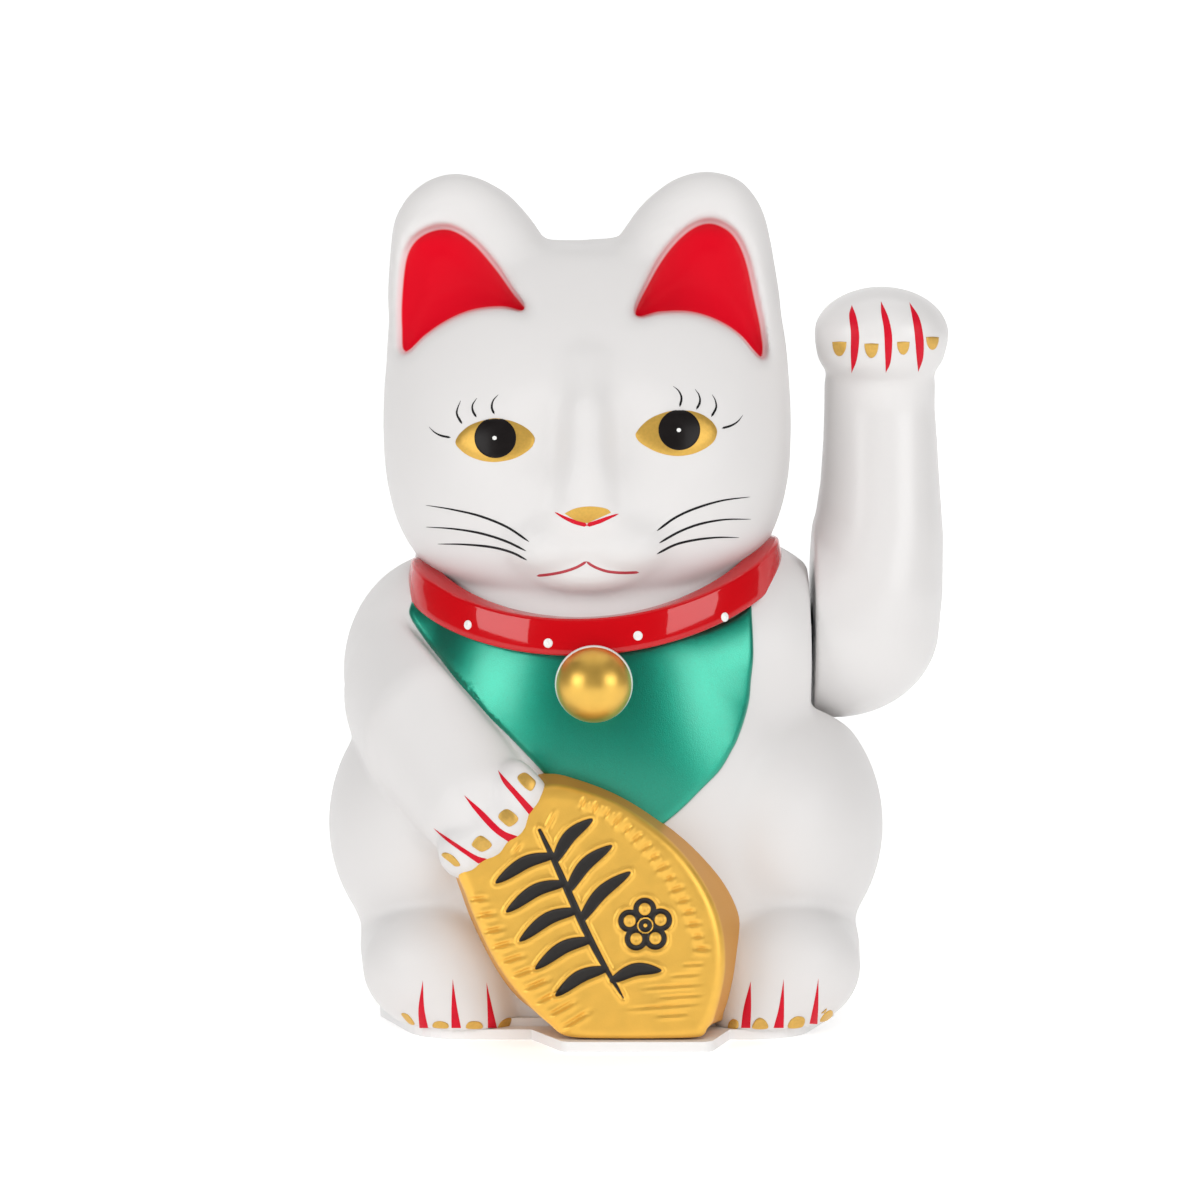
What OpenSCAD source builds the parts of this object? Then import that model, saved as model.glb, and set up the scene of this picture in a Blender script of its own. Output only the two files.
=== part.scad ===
// Beckoning cat figurine with a swinging left arm.
// A hollow two-part moulding on a screwed base. Inside it a pendulum with a
// magnet hangs from the arm's axle over a coil, which a dry cell drives.
// Millimetres. +Z is up, the cat faces -Y, and the origin is on the underside
// of the base, on the centre line of the body.

/* [Shells] */
// Wall of the body mouldings
shell_wall = 2; // [1.6:0.1:2.4]
// Wall of the swinging arm, kept light
arm_wall = 1.5; // [1.2:0.1:1.8]
// Thickness of the visible rim under the feet
rim_t = 2.4; // [2.2:0.1:2.8]
// How far the bib stands out of the chest
bib_t = 0.9; // [0.6:0.1:1.2]

/* [Ornaments] */
// Diameter of the bell
bell_d = 17.4; // [16:0.2:18]
// Height of the collar band
collar_h = 8.4; // [7.5:0.1:9]
// How far the collar stands out of its groove
collar_t = 3.4; // [3:0.1:4]

/* [Swing] */
// Height of the arm's axle above the base
axle_z = 90; // [89:0.5:91]
// Diameter of the axle
axle_d = 3; // [2.8:0.1:3.2]
// Running gap between the arm and the body's flat side
side_gap = 1.1; // [0.8:0.1:1.4]
// Length from the axle to the underside of the magnet
pendulum_l = 62.5; // [60:0.5:63]
// Diameter of the magnet
magnet_d = 12; // [10:1:12]

/* [Power] */
// Diameter of the dry cell
cell_d = 14.5; // [14:0.1:14.5]
// Length of the dry cell with its contact nub
cell_l = 50.5; // [49.5:0.1:50.5]
// Travel of the power switch
switch_travel = 3; // [2.5:0.1:3]

/* [Hidden] */

blob_fn = 28;      // facets of the ellipsoids that make the body
limb_fn = 24;      // facets of the ellipsoids that make the arm
core_fn = 16;      // facets of the ellipsoids that hollow the body out
fine_fn = 48;      // facets of small round parts
far = 300;         // larger than the whole figure
fit = 0.15;        // gap round an ornament that sits in a recess
seam_y = 3;        // parting plane of the mouldings, through the axle
head_x = -4.8;     // centre line of the head
side_x = 48;       // the body's flat side, next to the arm
arm_x = side_x + side_gap;
axle_r = axle_d / 2;

// Sections of the torso and the head: height, left, right, front, back, squareness
torso_rows = [
    [-1, -51, 51, -40, 43, 2.3], [8, -56, 56, -44, 47, 2.3], [20, -59, 59, -46, 49.5, 2.3],
    [33, -59.5, 59.5, -46.5, 50, 2.3], [50, -56, 56, -47, 50, 2.2], [66, -52, 50, -47, 48, 2.2],
    [80, -50, 46, -45.5, 44, 2.2], [92, -46, 42, -42.5, 40, 2.2], [101, -42, 35, -37, 36, 2.2],
    [112, -34, 24, -28, 30, 2]
];
head_rows = [
    [96, -24, 14, -20, 18, 2], [100, -36, 26, -33, 26, 2.1], [106, -45, 36, -40, 32, 2.2],
    [114, -50, 40.5, -43, 36, 2.3], [124, -52, 42.5, -44, 39, 2.3], [138, -53, 43.4, -42.5, 41, 2.3],
    [150, -52.4, 42.8, -38, 41, 2.3], [162, -50.5, 41.2, -30, 38, 2.3], [171, -45, 36, -21.5, 33, 2.3],
    [178, -35, 26, -13, 25, 2.2], [182, -20, 11, -6, 14, 2.1], [183.2, -8, -1, -2, 6, 2]
];

// Ellipsoids as [centre, radii]
haunch_l = [[-38, -4, 45], [28.2, 38, 33]];
haunch_r = [[38, -4, 44.5], [27.6, 38, 32.5]];
foot_l = [[[-38, -33.5, 15], [20.5, 16, 15.5]], [[-39.5, -12, 16], [20.5, 17, 17]]];
foot_r = [[[39.5, -33.5, 15], [19.5, 16, 15.5]], [[40, -12, 16], [20, 17, 17]]];
shoulder_l = [[-40, -3, 81.5], [24.3, 29, 28.5]];
shoulder_r = [[26, 0, 86], [31, 33, 28]];
holding_arm = [
    [[-43, -8, 76], [20, 22, 24]], [[-40, -27, 68], [18, 16, 20]], [[-28, -47, 54], [13.5, 12.5, 14.5]]
];
tail = [[[20, 42, 14], [10, 9, 10]], [[30, 40, 34], [8.5, 8, 10]], [[22, 41, 50], [8, 8, 8]]];
muzzle = [[head_x - 4, -36, 111], [13, 11, 9]];
nose = [[[head_x, -36, 142], [6, 6, 8]], [[head_x, -41, 121], [7, 6.5, 7]]];
ear_l = [
    [[-35.8, -1, 182], [16.8, 9, 16.6]], [[-40, 2, 163], [13.4, 12, 12]], [[-28, 0, 175], [13.5, 9, 12]]
];
ear_r = [
    [[23.2, -1, 183], [15.6, 9, 16.2]], [[28, 2, 163], [12.4, 12, 12]], [[16, 0, 175], [13.5, 9, 12]]
];
ear_l_hollow = [[-45, -12, 161], [-24, -13, 169.5], [-40.5, -9, 181]];
ear_r_hollow = [[33.5, -12, 161], [11.5, -13, 169.5], [24.5, -9, 182]];
ear_hollow_r = 3.6;

// The swinging arm, from its round shoulder at the axle to the paw
swing_arm = [
    [[54.5, seam_y, axle_z + 1], [25, 21.4, 21.8]], [[62, seam_y, 100], [18.3, 20, 20]],
    [[64.8, seam_y, 112], [15.6, 17.5, 18]], [[65.2, seam_y, 124], [14.3, 15.5, 16]],
    [[65.2, seam_y, 135], [13.6, 14, 14]], [[65, seam_y, 143], [13.2, 13, 12]],
    [[65, seam_y - 1, 150], [13.6, 13, 10]], [[65, seam_y - 4, 156], [15.2, 14, 10]],
    [[65, seam_y - 5, 160.6], [15.9, 14.5, 12]]
];
sweep_r = 22.9;    // clears the arm's shoulder at every angle

// Outlines of the coin on its face and at its root, as x and height
koban_face = [
    [-6.5, 2.55], [21.5, 2.55], [24.2, 8], [26.6, 19], [25, 30], [20.5, 39], [13.5, 47.5], [5, 53.8],
    [-3, 57], [-14, 58.5], [-27, 51], [-31.5, 42], [-29.5, 32], [-26, 22.5], [-21, 13.8], [-14, 6.8]
];
koban_root = [
    [-8, 2.55], [24, 2.55], [28, 6], [30.8, 16], [31.2, 26.5], [27.5, 36], [20, 45], [12, 51.5],
    [4, 56.8], [-6, 61.2], [-15.5, 62.5], [-30, 54], [-35.6, 42], [-33.5, 32], [-29, 20.5],
    [-24, 12], [-17.5, 6]
];
koban_root_y = -40;
koban_foot_y = -62.5;  // the face's lower edge
koban_lean = 4.5;      // degrees that the face leans back

// Lower outline of the bib on the chest, as x and height
bib_outline = [
    [-46.8, 94], [-37.5, 83], [-25, 71], [-14.5, 61.5], [-6, 57.5], [5, 51], [13, 50],
    [19.5, 52.5], [27.8, 63], [32.2, 74], [34.4, 86], [34.6, 96]
];

// The collar runs round the neck and dips to the front
collar_c = [head_x + 1.3, -7, 105.2];
collar_rx = 40;
collar_ry = 35.8;
collar_dip = 13.4;
collar_lean = 1.4;  // how far the band's lower edge stands out
collar_n = 64;
// Upper outline of the bib, behind the middle of the collar
bib_top = [
    for (a = [-24:-12:-168])
        [collar_c[0] + collar_rx * cos(a), collar_c[2] + collar_h_at(a)]
];

bell_c = [-3.1, -51, 82.6];
bell_back_y = -46;

// Base, cell bay and cover
step_t = 1.8;
base_t = rim_t + step_t;
bay_x = -22;
bay_w = 16;
bay_wall = 1.8;
bay_y = [-29.6, 27.4];
bay_top = 17.8;
cell_y = bay_y[1] - 0.5;
cell_z = 2.3 + cell_d / 2;
cover_w = 18;
cover_y = [-32, 42.5];
cover_t = 1.45;
cover_z = 0.15;
cover_gap = 0.3;
tongue = 1.2;
tongue_z = cover_z + 0.8;
screw_at = [[-42, -24], [42, -24], [-37, 27], [37, 27]];
boss_r = 4;
boss_h = 13;
screw_r = 1.35;
pilot_r = 1.5;
head_z = 2;        // depth of the recesses for the screw heads

// Mechanism
frame_x = [12, 38];
frame_t = 2.5;
frame_w = 14;
foot_z = base_t;
lever_x = 26.5;
bush_r = 3.5;
bush_gap = 0.04;
bush_flange_t = 0.8;
clip_t = 0.6;
clip_gap = 0.35;
board_z = 9.8;
board_t = 1.6;
board_x = [16, 37];
board_y = [seam_y - 20, seam_y + 20];
coil_z = board_z + board_t;
coil_h = 12.6;
coil_r = 9.8;
board_post = [[18.5, seam_y - 17.5], [34.5, seam_y + 17.5]];
frame_screw_at = [[9.5, seam_y - 13], [43.2, seam_y - 13], [9.5, seam_y + 13], [43.2, seam_y + 13]];
switch_at = [0, 30];
weight_r = 7.4;
weight_l = 15;
weight_z = 49;
weight_y = seam_y + 0.87;
magnet_t = 4;
knob_gap = 0.35;
wire_r = 0.6;

// ---- shapes that repeat ----

function side(v, p) = sign(v) * pow(abs(v), p);

// One oval section whose front and back have depths of their own
function oval(row, n) = [
    for (i = [0:n - 1])
        let (a = 360 * i / n, c = side(cos(a), 2 / row[5]), s = side(sin(a), 2 / row[5]))
        [(row[1] + row[2]) / 2 + (row[2] - row[1]) / 2 * c, s < 0 ? -row[3] * s : row[4] * s, row[0]]
];

// The same section with its surface moved inwards by t
function inset(rows, t) = [
    for (i = [0:len(rows) - 1])
        let (r = rows[i])
        [r[0] - (i == len(rows) - 1 ? t : 0), r[1] + t, r[2] - t, r[3] + t, r[4] - t, r[5]]
];

module loft(rows, n) {
    last = len(rows) - 1;
    polyhedron(
        points = [for (r = rows) each oval(r, n)],
        faces = [
            [for (i = [0:n - 1]) i],
            [for (i = [n - 1:-1:0]) last * n + i],
            for (k = [0:last - 1], i = [0:n - 1])
                let (j = (i + 1) % n)
                each [[k * n + i, (k + 1) * n + i, k * n + j], [k * n + j, (k + 1) * n + i, (k + 1) * n + j]]
        ]
    );
}

module blob(b, t = 0, n = blob_fn)
    translate(b[0])
        scale([b[1][0] - t, b[1][1] - t, b[1][2] - t])
            sphere(1, $fn = n);

// A chain of ellipsoids, each one blended into the next
module limb(blobs, t = 0, n = blob_fn)
    for (i = [0:len(blobs) - 2])
        hull() {
            blob(blobs[i], t, n);
            blob(blobs[i + 1], t, n);
        }

module along_x(x, y, z, r, l, n = fine_fn)
    translate([x, y, z])
        rotate([0, 90, 0])
            cylinder(r = r, h = l, $fn = n);

module box(lo, hi)
    translate(lo)
        cube(hi - lo);

// A round bar through a row of points, with ball corners
module bar(points, r) {
    for (i = [0:len(points) - 2])
        let (d = points[i + 1] - points[i], flat = norm([d[0], d[1]]))
            translate(points[i])
                rotate([0, atan2(flat, d[2]), atan2(d[1], d[0])])
                    cylinder(r = r, h = norm(d), $fn = fine_fn);
    for (i = [1:len(points) - 2])
        translate(points[i])
            sphere(1.08 * r, $fn = fine_fn);
}

// A point of the smooth curve through p, between p[i] and p[i + 1]
function curve(p, i, s) =
    let (a = p[max(i - 1, 0)], b = p[i], c = p[i + 1], d = p[min(i + 2, len(p) - 1)])
    (2 * b + (c - a) * s + (2 * a - 5 * b + 4 * c - d) * s * s + (3 * b - 3 * c + d - a) * s * s * s) / 2;

// A wire along the smooth curve through p
module wire(p, r) {
    steps = 4;
    sides = 8;
    at = [for (i = [0:len(p) - 2], j = [0:steps - 1]) curve(p, i, j / steps), p[len(p) - 1]];
    rings = len(at) - 1;
    polyhedron(
        points = [
            for (i = [0:rings])
                let (t = at[min(i + 1, rings)] - at[max(i - 1, 0)], u = cross(t, [0, 1, 0]), v = cross(t, u))
                for (k = [0:sides - 1])
                    let (b = 360 * k / sides)
                    at[i] + r * (cos(b) * u / norm(u) + sin(b) * v / norm(v))
        ],
        faces = [
            [for (k = [0:sides - 1]) k],
            [for (k = [sides - 1:-1:0]) rings * sides + k],
            for (i = [0:rings - 1], k = [0:sides - 1])
                let (l = (k + 1) % sides)
                each [[i * sides + k, (i + 1) * sides + k, i * sides + l],
                      [i * sides + l, (i + 1) * sides + k, (i + 1) * sides + l]]
        ]
    );
}

module front_half()
    box([-far, -far, -far], [far, seam_y, far]);

module back_half()
    box([-far, seam_y, -far], [far, far, far]);

module above(z)
    box([-far, -far, z], [far, far, far]);

// ---- the cat's form ----

module ear(e, t, n = blob_fn)
    hull()
        for (b = e)
            blob(b, t, n);

module ear_hollow(corners, t = 0)
    hull()
        for (c = corners)
            blob([c, [ear_hollow_r, 8, ear_hollow_r]], t, 16);

// n is the number of facets round each ellipsoid
module cat_form(t = 0, n = blob_fn) {
    loft(inset(torso_rows, t), 1.5 * n - 2);
    loft(inset(head_rows, t), 1.5 * n - 2);
    for (b = [haunch_l, haunch_r, shoulder_l])
        blob(b, t, n);
    limb(foot_l, t, n);
    limb(foot_r, t, n);
    limb(holding_arm, t, n);
    ear(ear_l, t, n);
    ear(ear_r, t, n);
    intersection() {
        blob(shoulder_r, t, n);
        box([-far, -far, -far], [side_x - t, far, far]);
    }
}

// Details that the wall follows on the outside only
module face_form() {
    limb([muzzle, [[head_x + 4, -36, 111], muzzle[1]]]);
    limb(nose);
}

module tail_form()
    limb(tail, 0, 20);

// The space that the swinging arm needs beside the body
module arm_sweep(t = 0)
    along_x(side_x - t, seam_y, axle_z, sweep_r + t, far, 64);

module cavity()
    difference() {
        cat_form(shell_wall, core_fn);
        arm_sweep(shell_wall);
        ear_hollow(ear_l_hollow, -shell_wall);
        ear_hollow(ear_r_hollow, -shell_wall);
        for (p = screw_at) {
            translate([p[0], p[1], -1])
                cylinder(r = boss_r, h = boss_h + rim_t + 1, $fn = 24);
            box([min(p[0], 2 * p[0]), p[1] - 1, -1], [max(p[0], 2 * p[0]), p[1] + 1, boss_h + rim_t]);
        }
        collar(shell_wall);
    }

module boss_holes()
    for (p = screw_at)
        translate([p[0], p[1], -1])
            cylinder(r = pilot_r, h = boss_h + rim_t - 1, $fn = 24);

module base_recess()
    translate([0, 0, rim_t])
        linear_extrude(step_t + 0.1)
            offset(delta = 0.1)
                step_outline();

module cat_shell()
    difference() {
        intersection() {
            union() {
                cat_form();
                face_form();
                tail_form();
            }
            above(rim_t);
        }
        arm_sweep();
        cavity();
        base_recess();
        boss_holes();
        ear_hollow(ear_l_hollow);
        ear_hollow(ear_r_hollow);
        collar(fit);
        along_x(side_x - 12, seam_y, axle_z, 3.2, 20, 24);
    }

module front_shell()
    color("whitesmoke")
        difference() {
            intersection() {
                cat_shell();
                front_half();
            }
            bell_seat();
        }

module back_shell()
    color("whitesmoke")
        intersection() {
            cat_shell();
            back_half();
        }

// ---- ornaments ----

// Height of the band's middle at an angle round the neck
function collar_h_at(a) = -collar_dip * pow(max(0, -sin(a)), 1.5);

// The band as one ring: a leaning section swept round an ellipse
module collar(g = 0, root = 2.5) {
    h = collar_h / 2 + g;
    section = [
        [-root - g, -h], [collar_t + collar_lean - 1 + g, -h], [collar_t + collar_lean + g, -h + 1],
        [collar_t - collar_lean + g, h - 1], [collar_t - collar_lean - 1 + g, h], [-root - g, h]
    ];
    m = len(section);
    translate(collar_c)
        polyhedron(
            points = [
                for (i = [0:collar_n - 1], s = section)
                    let (a = 360 * i / collar_n)
                    [(collar_rx + s[0]) * cos(a), (collar_ry + s[0]) * sin(a), collar_h_at(a) + s[1]]
            ],
            faces = [
                for (i = [0:collar_n - 1], k = [0:m - 1])
                    let (j = (i + 1) % collar_n, l = (k + 1) % m)
                    each [[i * m + k, i * m + l, j * m + k], [j * m + k, i * m + l, j * m + l]]
            ]
        );
}

module bell_ball(g = 0)
    translate(bell_c)
        sphere(bell_d / 2 + g, $fn = fine_fn);

module bell_peg(g = 0)
    translate([bell_c[0], bell_back_y - 1, bell_c[2]])
        rotate([-90, 0, 0])
            cylinder(r = 2 + g, h = 8, $fn = fine_fn);

module bell_seat() {
    bell_ball(fit);
    bell_peg(fit);
}

module collar_front()
    color("crimson")
        difference() {
            intersection() {
                collar();
                front_half();
            }
            hull()
                bell_ball(fit);
        }

module collar_back()
    color("crimson")
        intersection() {
            collar();
            back_half();
        }

module bib()
    color("mediumseagreen")
        difference() {
            intersection() {
                cat_form(-bib_t);
                translate([0, 0, 0])
                    rotate([90, 0, 0])
                        linear_extrude(far)
                            polygon(concat(bib_outline, bib_top));
            }
            cat_form();
            limb(holding_arm, -bib_t - 0.1);
            collar(fit, 14);
            koban_form(-fit);
            bell_seat();
            box([-far, -12, 0], [far, far, far]);
        }

module bell()
    color("goldenrod") {
        difference() {
            bell_ball();
            box([-far, bell_back_y, 0], [far, far, far]);
        }
        bell_peg();
    }

// The coin between its face and its root; t moves every side inwards
module koban_form(t = 0)
    hull() {
        translate([0, koban_root_y, 0])
            rotate([90, 0, 0])
                linear_extrude(0.1)
                    offset(delta = -t)
                        polygon(koban_root);
        translate([0, koban_foot_y + 0.1 + t, 0])
            rotate([90 - koban_lean, 0, 0])
                linear_extrude(0.1)
                    offset(delta = -t)
                        polygon(koban_face);
    }

module koban_coin()
    color("goldenrod")
        difference() {
            koban_form();
            koban_form(shell_wall);
            cat_form(-fit);
            box([-far, koban_root_y - 2, -far], [far, far, far]);
            linear_extrude(base_t + fit)
                offset(delta = fit)
                    step_outline();
        }

// ---- base and power ----

module step_outline()
    offset(delta = -4.6)
        rim_outline();

module rim_outline()
    hull()
        for (c = [[-33, -33.5, 14], [33.5, -33.5, 14], [-40, -14, 14], [40, -14, 14],
                  [-31, 21, 23], [31, 21, 23], [0, 24, 24]])
            translate([c[0], c[1]])
                circle(c[2], $fn = 32);

// Tongue that carries the coin's foot
module plinth_outline()
    offset(r = 3, $fn = 32)
        offset(delta = -3)
            polygon([[-22, -38], [-10, -63.4], [23.5, -63.4], [31, -38]]);

// Outline of the cover, grown by g, up to the rear edge or beyond it
module cover_block(g, rear) {
    box([bay_x - cover_w / 2 - g, cover_y[0] - g, cover_z - g],
        [bay_x + cover_w / 2 + g, rear, cover_z + cover_t + g]);
    box([bay_x - cover_w / 2 - tongue - g, cover_y[0] - g, tongue_z - g],
        [bay_x + cover_w / 2 + tongue + g, rear, cover_z + cover_t + g]);
}

module base_plate()
    color("whitesmoke")
        difference() {
            union() {
                linear_extrude(rim_t)
                    rim_outline();
                linear_extrude(rim_t)
                    plinth_outline();
                translate([0, 0, rim_t - 0.01])
                    linear_extrude(step_t + 0.01)
                        step_outline();
                box([bay_x - bay_w / 2 - bay_wall, bay_y[0] - bay_wall, 1],
                    [bay_x + bay_w / 2 + bay_wall, bay_y[1] + bay_wall, bay_top + bay_wall]);
            }
            // cell bay, open below
            box([bay_x - bay_w / 2, bay_y[0], -1], [bay_x + bay_w / 2, bay_y[1], bay_top]);
            // track of the cover, open below and to the rear
            cover_block(cover_gap, far);
            box([bay_x - cover_w / 2 - cover_gap, cover_y[0] - cover_gap, -1],
                [bay_x + cover_w / 2 + cover_gap, far, 1]);
            for (p = screw_at)
                translate([p[0], p[1], -1]) {
                    cylinder(r = 1.7, h = 20, $fn = fine_fn);
                    cylinder(r = 3.2, h = head_z + 1, $fn = fine_fn);
                }
            for (p = frame_screw_at)
                translate([p[0], p[1], 0.8])
                    cylinder(r = 1.1, h = 20, $fn = fine_fn);
            // recess and slot of the switch
            box([switch_at[0] - 5, switch_at[1] - 3, -1], [switch_at[0] + 5, switch_at[1] + 3, 1.6]);
            box([switch_at[0] - 3.2, switch_at[1] - 1.5, 0], [switch_at[0] + 3.2, switch_at[1] + 1.5, 5]);
        }

module battery_cover()
    color("whitesmoke")
        difference() {
            cover_block(0, cover_y[1]);
            // finger grooves
            for (i = [0:4])
                box([bay_x - 5, cover_y[1] - 14 + 2 * i, -1],
                    [bay_x + 5, cover_y[1] - 13 + 2 * i, cover_z + 0.5]);
        }

// A screw that points down, with a cross recess in its head
module screw(r, l, head_r, head_t)
    difference() {
        union() {
            cylinder(r = head_r, h = head_t, $fn = fine_fn);
            translate([0, 0, -l])
                cylinder(r = r, h = l + 0.01, $fn = fine_fn);
        }
        for (a = [0, 90])
            rotate([0, 0, a])
                box([-head_r * 0.55, -0.3, head_t - 0.7], [head_r * 0.55, 0.3, head_t + 1]);
    }

module base_screws()
    color("silver")
        for (p = screw_at)
            translate([p[0], p[1], head_z])
                rotate([180, 0, 0])
                    screw(screw_r, 10, 2.9, 1.5);

module battery()
    color("dimgray")
        translate([bay_x, cell_y, cell_z])
            rotate([90, 0, 0]) {
                cylinder(r = 2.7, h = 2, $fn = fine_fn);
                translate([0, 0, 1])
                    cylinder(r = cell_d / 2, h = cell_l - 1, $fn = fine_fn);
            }

// Compression spring against the cell's flat end, as one swept helix
module contact_spring() {
    turns = 4;
    steps = 14;
    sides = 6;
    rw = 0.35;
    y_start = bay_y[0] + 0.5 + rw;
    y_end = cell_y - cell_l - rw;
    rings = turns * steps;
    function at(i) = let (a = 360 * i / steps, r = 4.6 - 1.6 * i / rings)
        [bay_x + r * cos(a), y_start + (y_end - y_start) * i / rings, cell_z + r * sin(a)];
    color("silver")
        polyhedron(
            points = [
                for (i = [0:rings], k = [0:sides - 1])
                    let (a = 360 * i / steps, b = 360 * k / sides, out = [cos(a), 0, sin(a)])
                    at(i) + rw * (cos(b) * out + sin(b) * [0, 1, 0])
            ],
            faces = [
                [for (k = [0:sides - 1]) k],
                [for (k = [sides - 1:-1:0]) rings * sides + k],
                for (i = [0:rings - 1], k = [0:sides - 1])
                    let (l = (k + 1) % sides)
                    each [[i * sides + k, (i + 1) * sides + k, i * sides + l],
                          [i * sides + l, (i + 1) * sides + k, (i + 1) * sides + l]]
            ]
        );
}

module contact_plates()
    color("silver") {
        box([bay_x - 6, bay_y[0], 4], [bay_x + 6, bay_y[0] + 0.5, 16]);
        box([bay_x - 6, bay_y[1] - 0.5, 4], [bay_x + 6, bay_y[1], 16]);
    }

module switch_body()
    color("silver")
        translate([switch_at[0], switch_at[1], base_t])
            difference() {
                box([-5.5, -2.6, 0], [5.5, 2.6, 4.4]);
                box([-1.3 - switch_travel / 2 - knob_gap, -1.05 - knob_gap, -1],
                    [1.3 + switch_travel / 2 + knob_gap, 1.05 + knob_gap, 3.3]);
            }

module switch_knob()
    color("black") {
        x = switch_at[0] - switch_travel / 2;
        y = switch_at[1];
        box([x - 1.3, y - 1.05, 0.5], [x + 1.3, y + 1.05, base_t + 2.9]);
        for (i = [-1:1])
            box([x + 0.8 * i - 0.2, y - 1.05, 0.3], [x + 0.8 * i + 0.2, y + 1.05, 0.51]);
    }

// ---- mechanism ----

module mechanism_frame()
    color("whitesmoke")
        difference() {
            union() {
                box([6.5, seam_y - 19.5, foot_z], [46.2, seam_y + 19.5, foot_z + frame_t]);
                for (x = frame_x) {
                    box([x, seam_y - frame_w / 2, foot_z], [x + frame_t, seam_y + frame_w / 2, axle_z]);
                    along_x(x, seam_y, axle_z, frame_w / 2, frame_t);
                    box([x, seam_y - frame_w / 2 - 4, foot_z], [x + frame_t, seam_y + frame_w / 2 + 4, foot_z + 12]);
                }
                for (p = board_post)
                    translate([p[0], p[1], foot_z])
                        cylinder(r = 2.3, h = board_z - foot_z, $fn = fine_fn);
            }
            for (x = frame_x)
                along_x(x - 1, seam_y, axle_z, bush_r, frame_t + 2);
            for (p = frame_screw_at)
                translate([p[0], p[1], 0])
                    cylinder(r = 1.35, h = 20, $fn = fine_fn);
            for (p = board_post)
                translate([p[0], p[1], foot_z + 1])
                    cylinder(r = 0.9, h = 20, $fn = fine_fn);
            // window of each upright
            for (x = frame_x)
                box([x - 1, seam_y - 3.5, foot_z + 20], [x + frame_t + 1, seam_y + 3.5, axle_z - 14]);
        }

module frame_screws()
    color("silver")
        for (p = frame_screw_at)
            translate([p[0], p[1], foot_z + frame_t])
                screw(1, 5.6, 2.2, 1.3);

module axle_bushes()
    color("ivory")
        for (side = [0, 1]) {
            x = frame_x[side];
            flange_x = side == 0 ? x - bush_flange_t : x + frame_t;
            difference() {
                union() {
                    along_x(x, seam_y, axle_z, bush_r, frame_t);
                    along_x(flange_x, seam_y, axle_z, bush_r + 1.2, bush_flange_t);
                }
                along_x(x - 5, seam_y, axle_z, axle_r + bush_gap, 12);
            }
        }

module circuit_board()
    color("darkgreen")
        difference() {
            box([board_x[0], board_y[0], board_z], [board_x[1], board_y[1], board_z + board_t]);
            for (p = board_post)
                translate([p[0], p[1], 0])
                    cylinder(r = 1.1, h = 20, $fn = fine_fn);
        }

module board_screws()
    color("silver")
        for (p = board_post)
            translate([p[0], p[1], board_z + board_t])
                screw(0.85, 5, 1.8, 1.1);

module coil_bobbin()
    color("ivory")
        translate([lever_x, seam_y, coil_z])
            difference() {
                union() {
                    cylinder(r = 4.5, h = coil_h, $fn = fine_fn);
                    for (z = [0, coil_h - 1.2])
                        translate([0, 0, z])
                            cylinder(r = coil_r, h = 1.2, $fn = fine_fn);
                }
                translate([0, 0, -1])
                    cylinder(r = 3, h = 30, $fn = fine_fn);
            }

module coil_winding()
    color("peru")
        translate([lever_x, seam_y, coil_z + 1.2])
            difference() {
                cylinder(r = coil_r - 0.7, h = coil_h - 2.4, $fn = fine_fn);
                translate([0, 0, -1])
                    cylinder(r = 4.5, h = 30, $fn = fine_fn);
            }

module transistor()
    color("black") {
        x = 22;
        y = seam_y - 13;
        z = coil_z + 2;
        difference() {
            translate([x, y, z])
                cylinder(r = 2.4, h = 4.6, $fn = fine_fn);
            box([x - 5, y + 1.2, z - 1], [x + 5, y + 5, z + 6]);
        }
        for (i = [-1:1])
            box([x + 1.27 * i - 0.22, y - 0.22, coil_z], [x + 1.27 * i + 0.22, y + 0.22, z + 0.01]);
    }

module capacitor()
    color("midnightblue")
        translate([30, seam_y - 14, coil_z])
            cylinder(r = 2.5, h = 7, $fn = fine_fn);

module resistor()
    color("tan") {
        y = seam_y + 14;
        z = coil_z + 1.6;
        along_x(22, y, z, 1.15, 6.4);
        bar([[20, y, coil_z], [20, y, z], [22.2, y, z]], 0.28);
        bar([[30.4, y, coil_z], [30.4, y, z], [28.2, y, z]], 0.28);
    }

module wire_cell_to_switch()
    color("red")
        wire([[bay_x, bay_y[1] + bay_wall + 0.1, 9], [bay_x, 31.6, 9], [-17, 34, 10.5], [-9, 33, 11],
              [-4.5, switch_at[1], 10.7], [-4.5, switch_at[1], base_t + 4.5]], wire_r);

module wire_switch_to_board()
    color("red")
        wire([[4.5, switch_at[1], base_t + 4.5], [4.5, switch_at[1], 10.7], [9, 28.5, 14], [16, 25.6, 15],
              [22.6, 23, 14.6], [24, 20.9, 13.2], [24, 20.9, coil_z + 0.1]], wire_r);

module wire_cell_to_board()
    color("black")
        wire([[bay_x, bay_y[0] - bay_wall - 0.1, 9], [bay_x, -33.4, 9.2], [-15, -34, 12], [-6, -30, 14.5],
              [8, -23, 15.5], [20, -17, 15], [26, -14, 13.2], [26, -14, coil_z + 0.1]], wire_r);

// ---- what swings ----

module axle()
    color("silver")
        along_x(9.2, seam_y, axle_z, axle_r, 54.8);

module axle_clips()
    color("dimgray")
        for (x = [frame_x[0] - bush_flange_t - clip_gap - clip_t, frame_x[1] + frame_t + bush_flange_t + clip_gap])
            difference() {
                along_x(x, seam_y, axle_z, axle_r + 1.7, clip_t);
                along_x(x - 1, seam_y, axle_z, axle_r, clip_t + 2);
                box([x - 1, seam_y - 0.9, axle_z], [x + 2, seam_y + 0.9, axle_z + 10]);
            }

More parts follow.
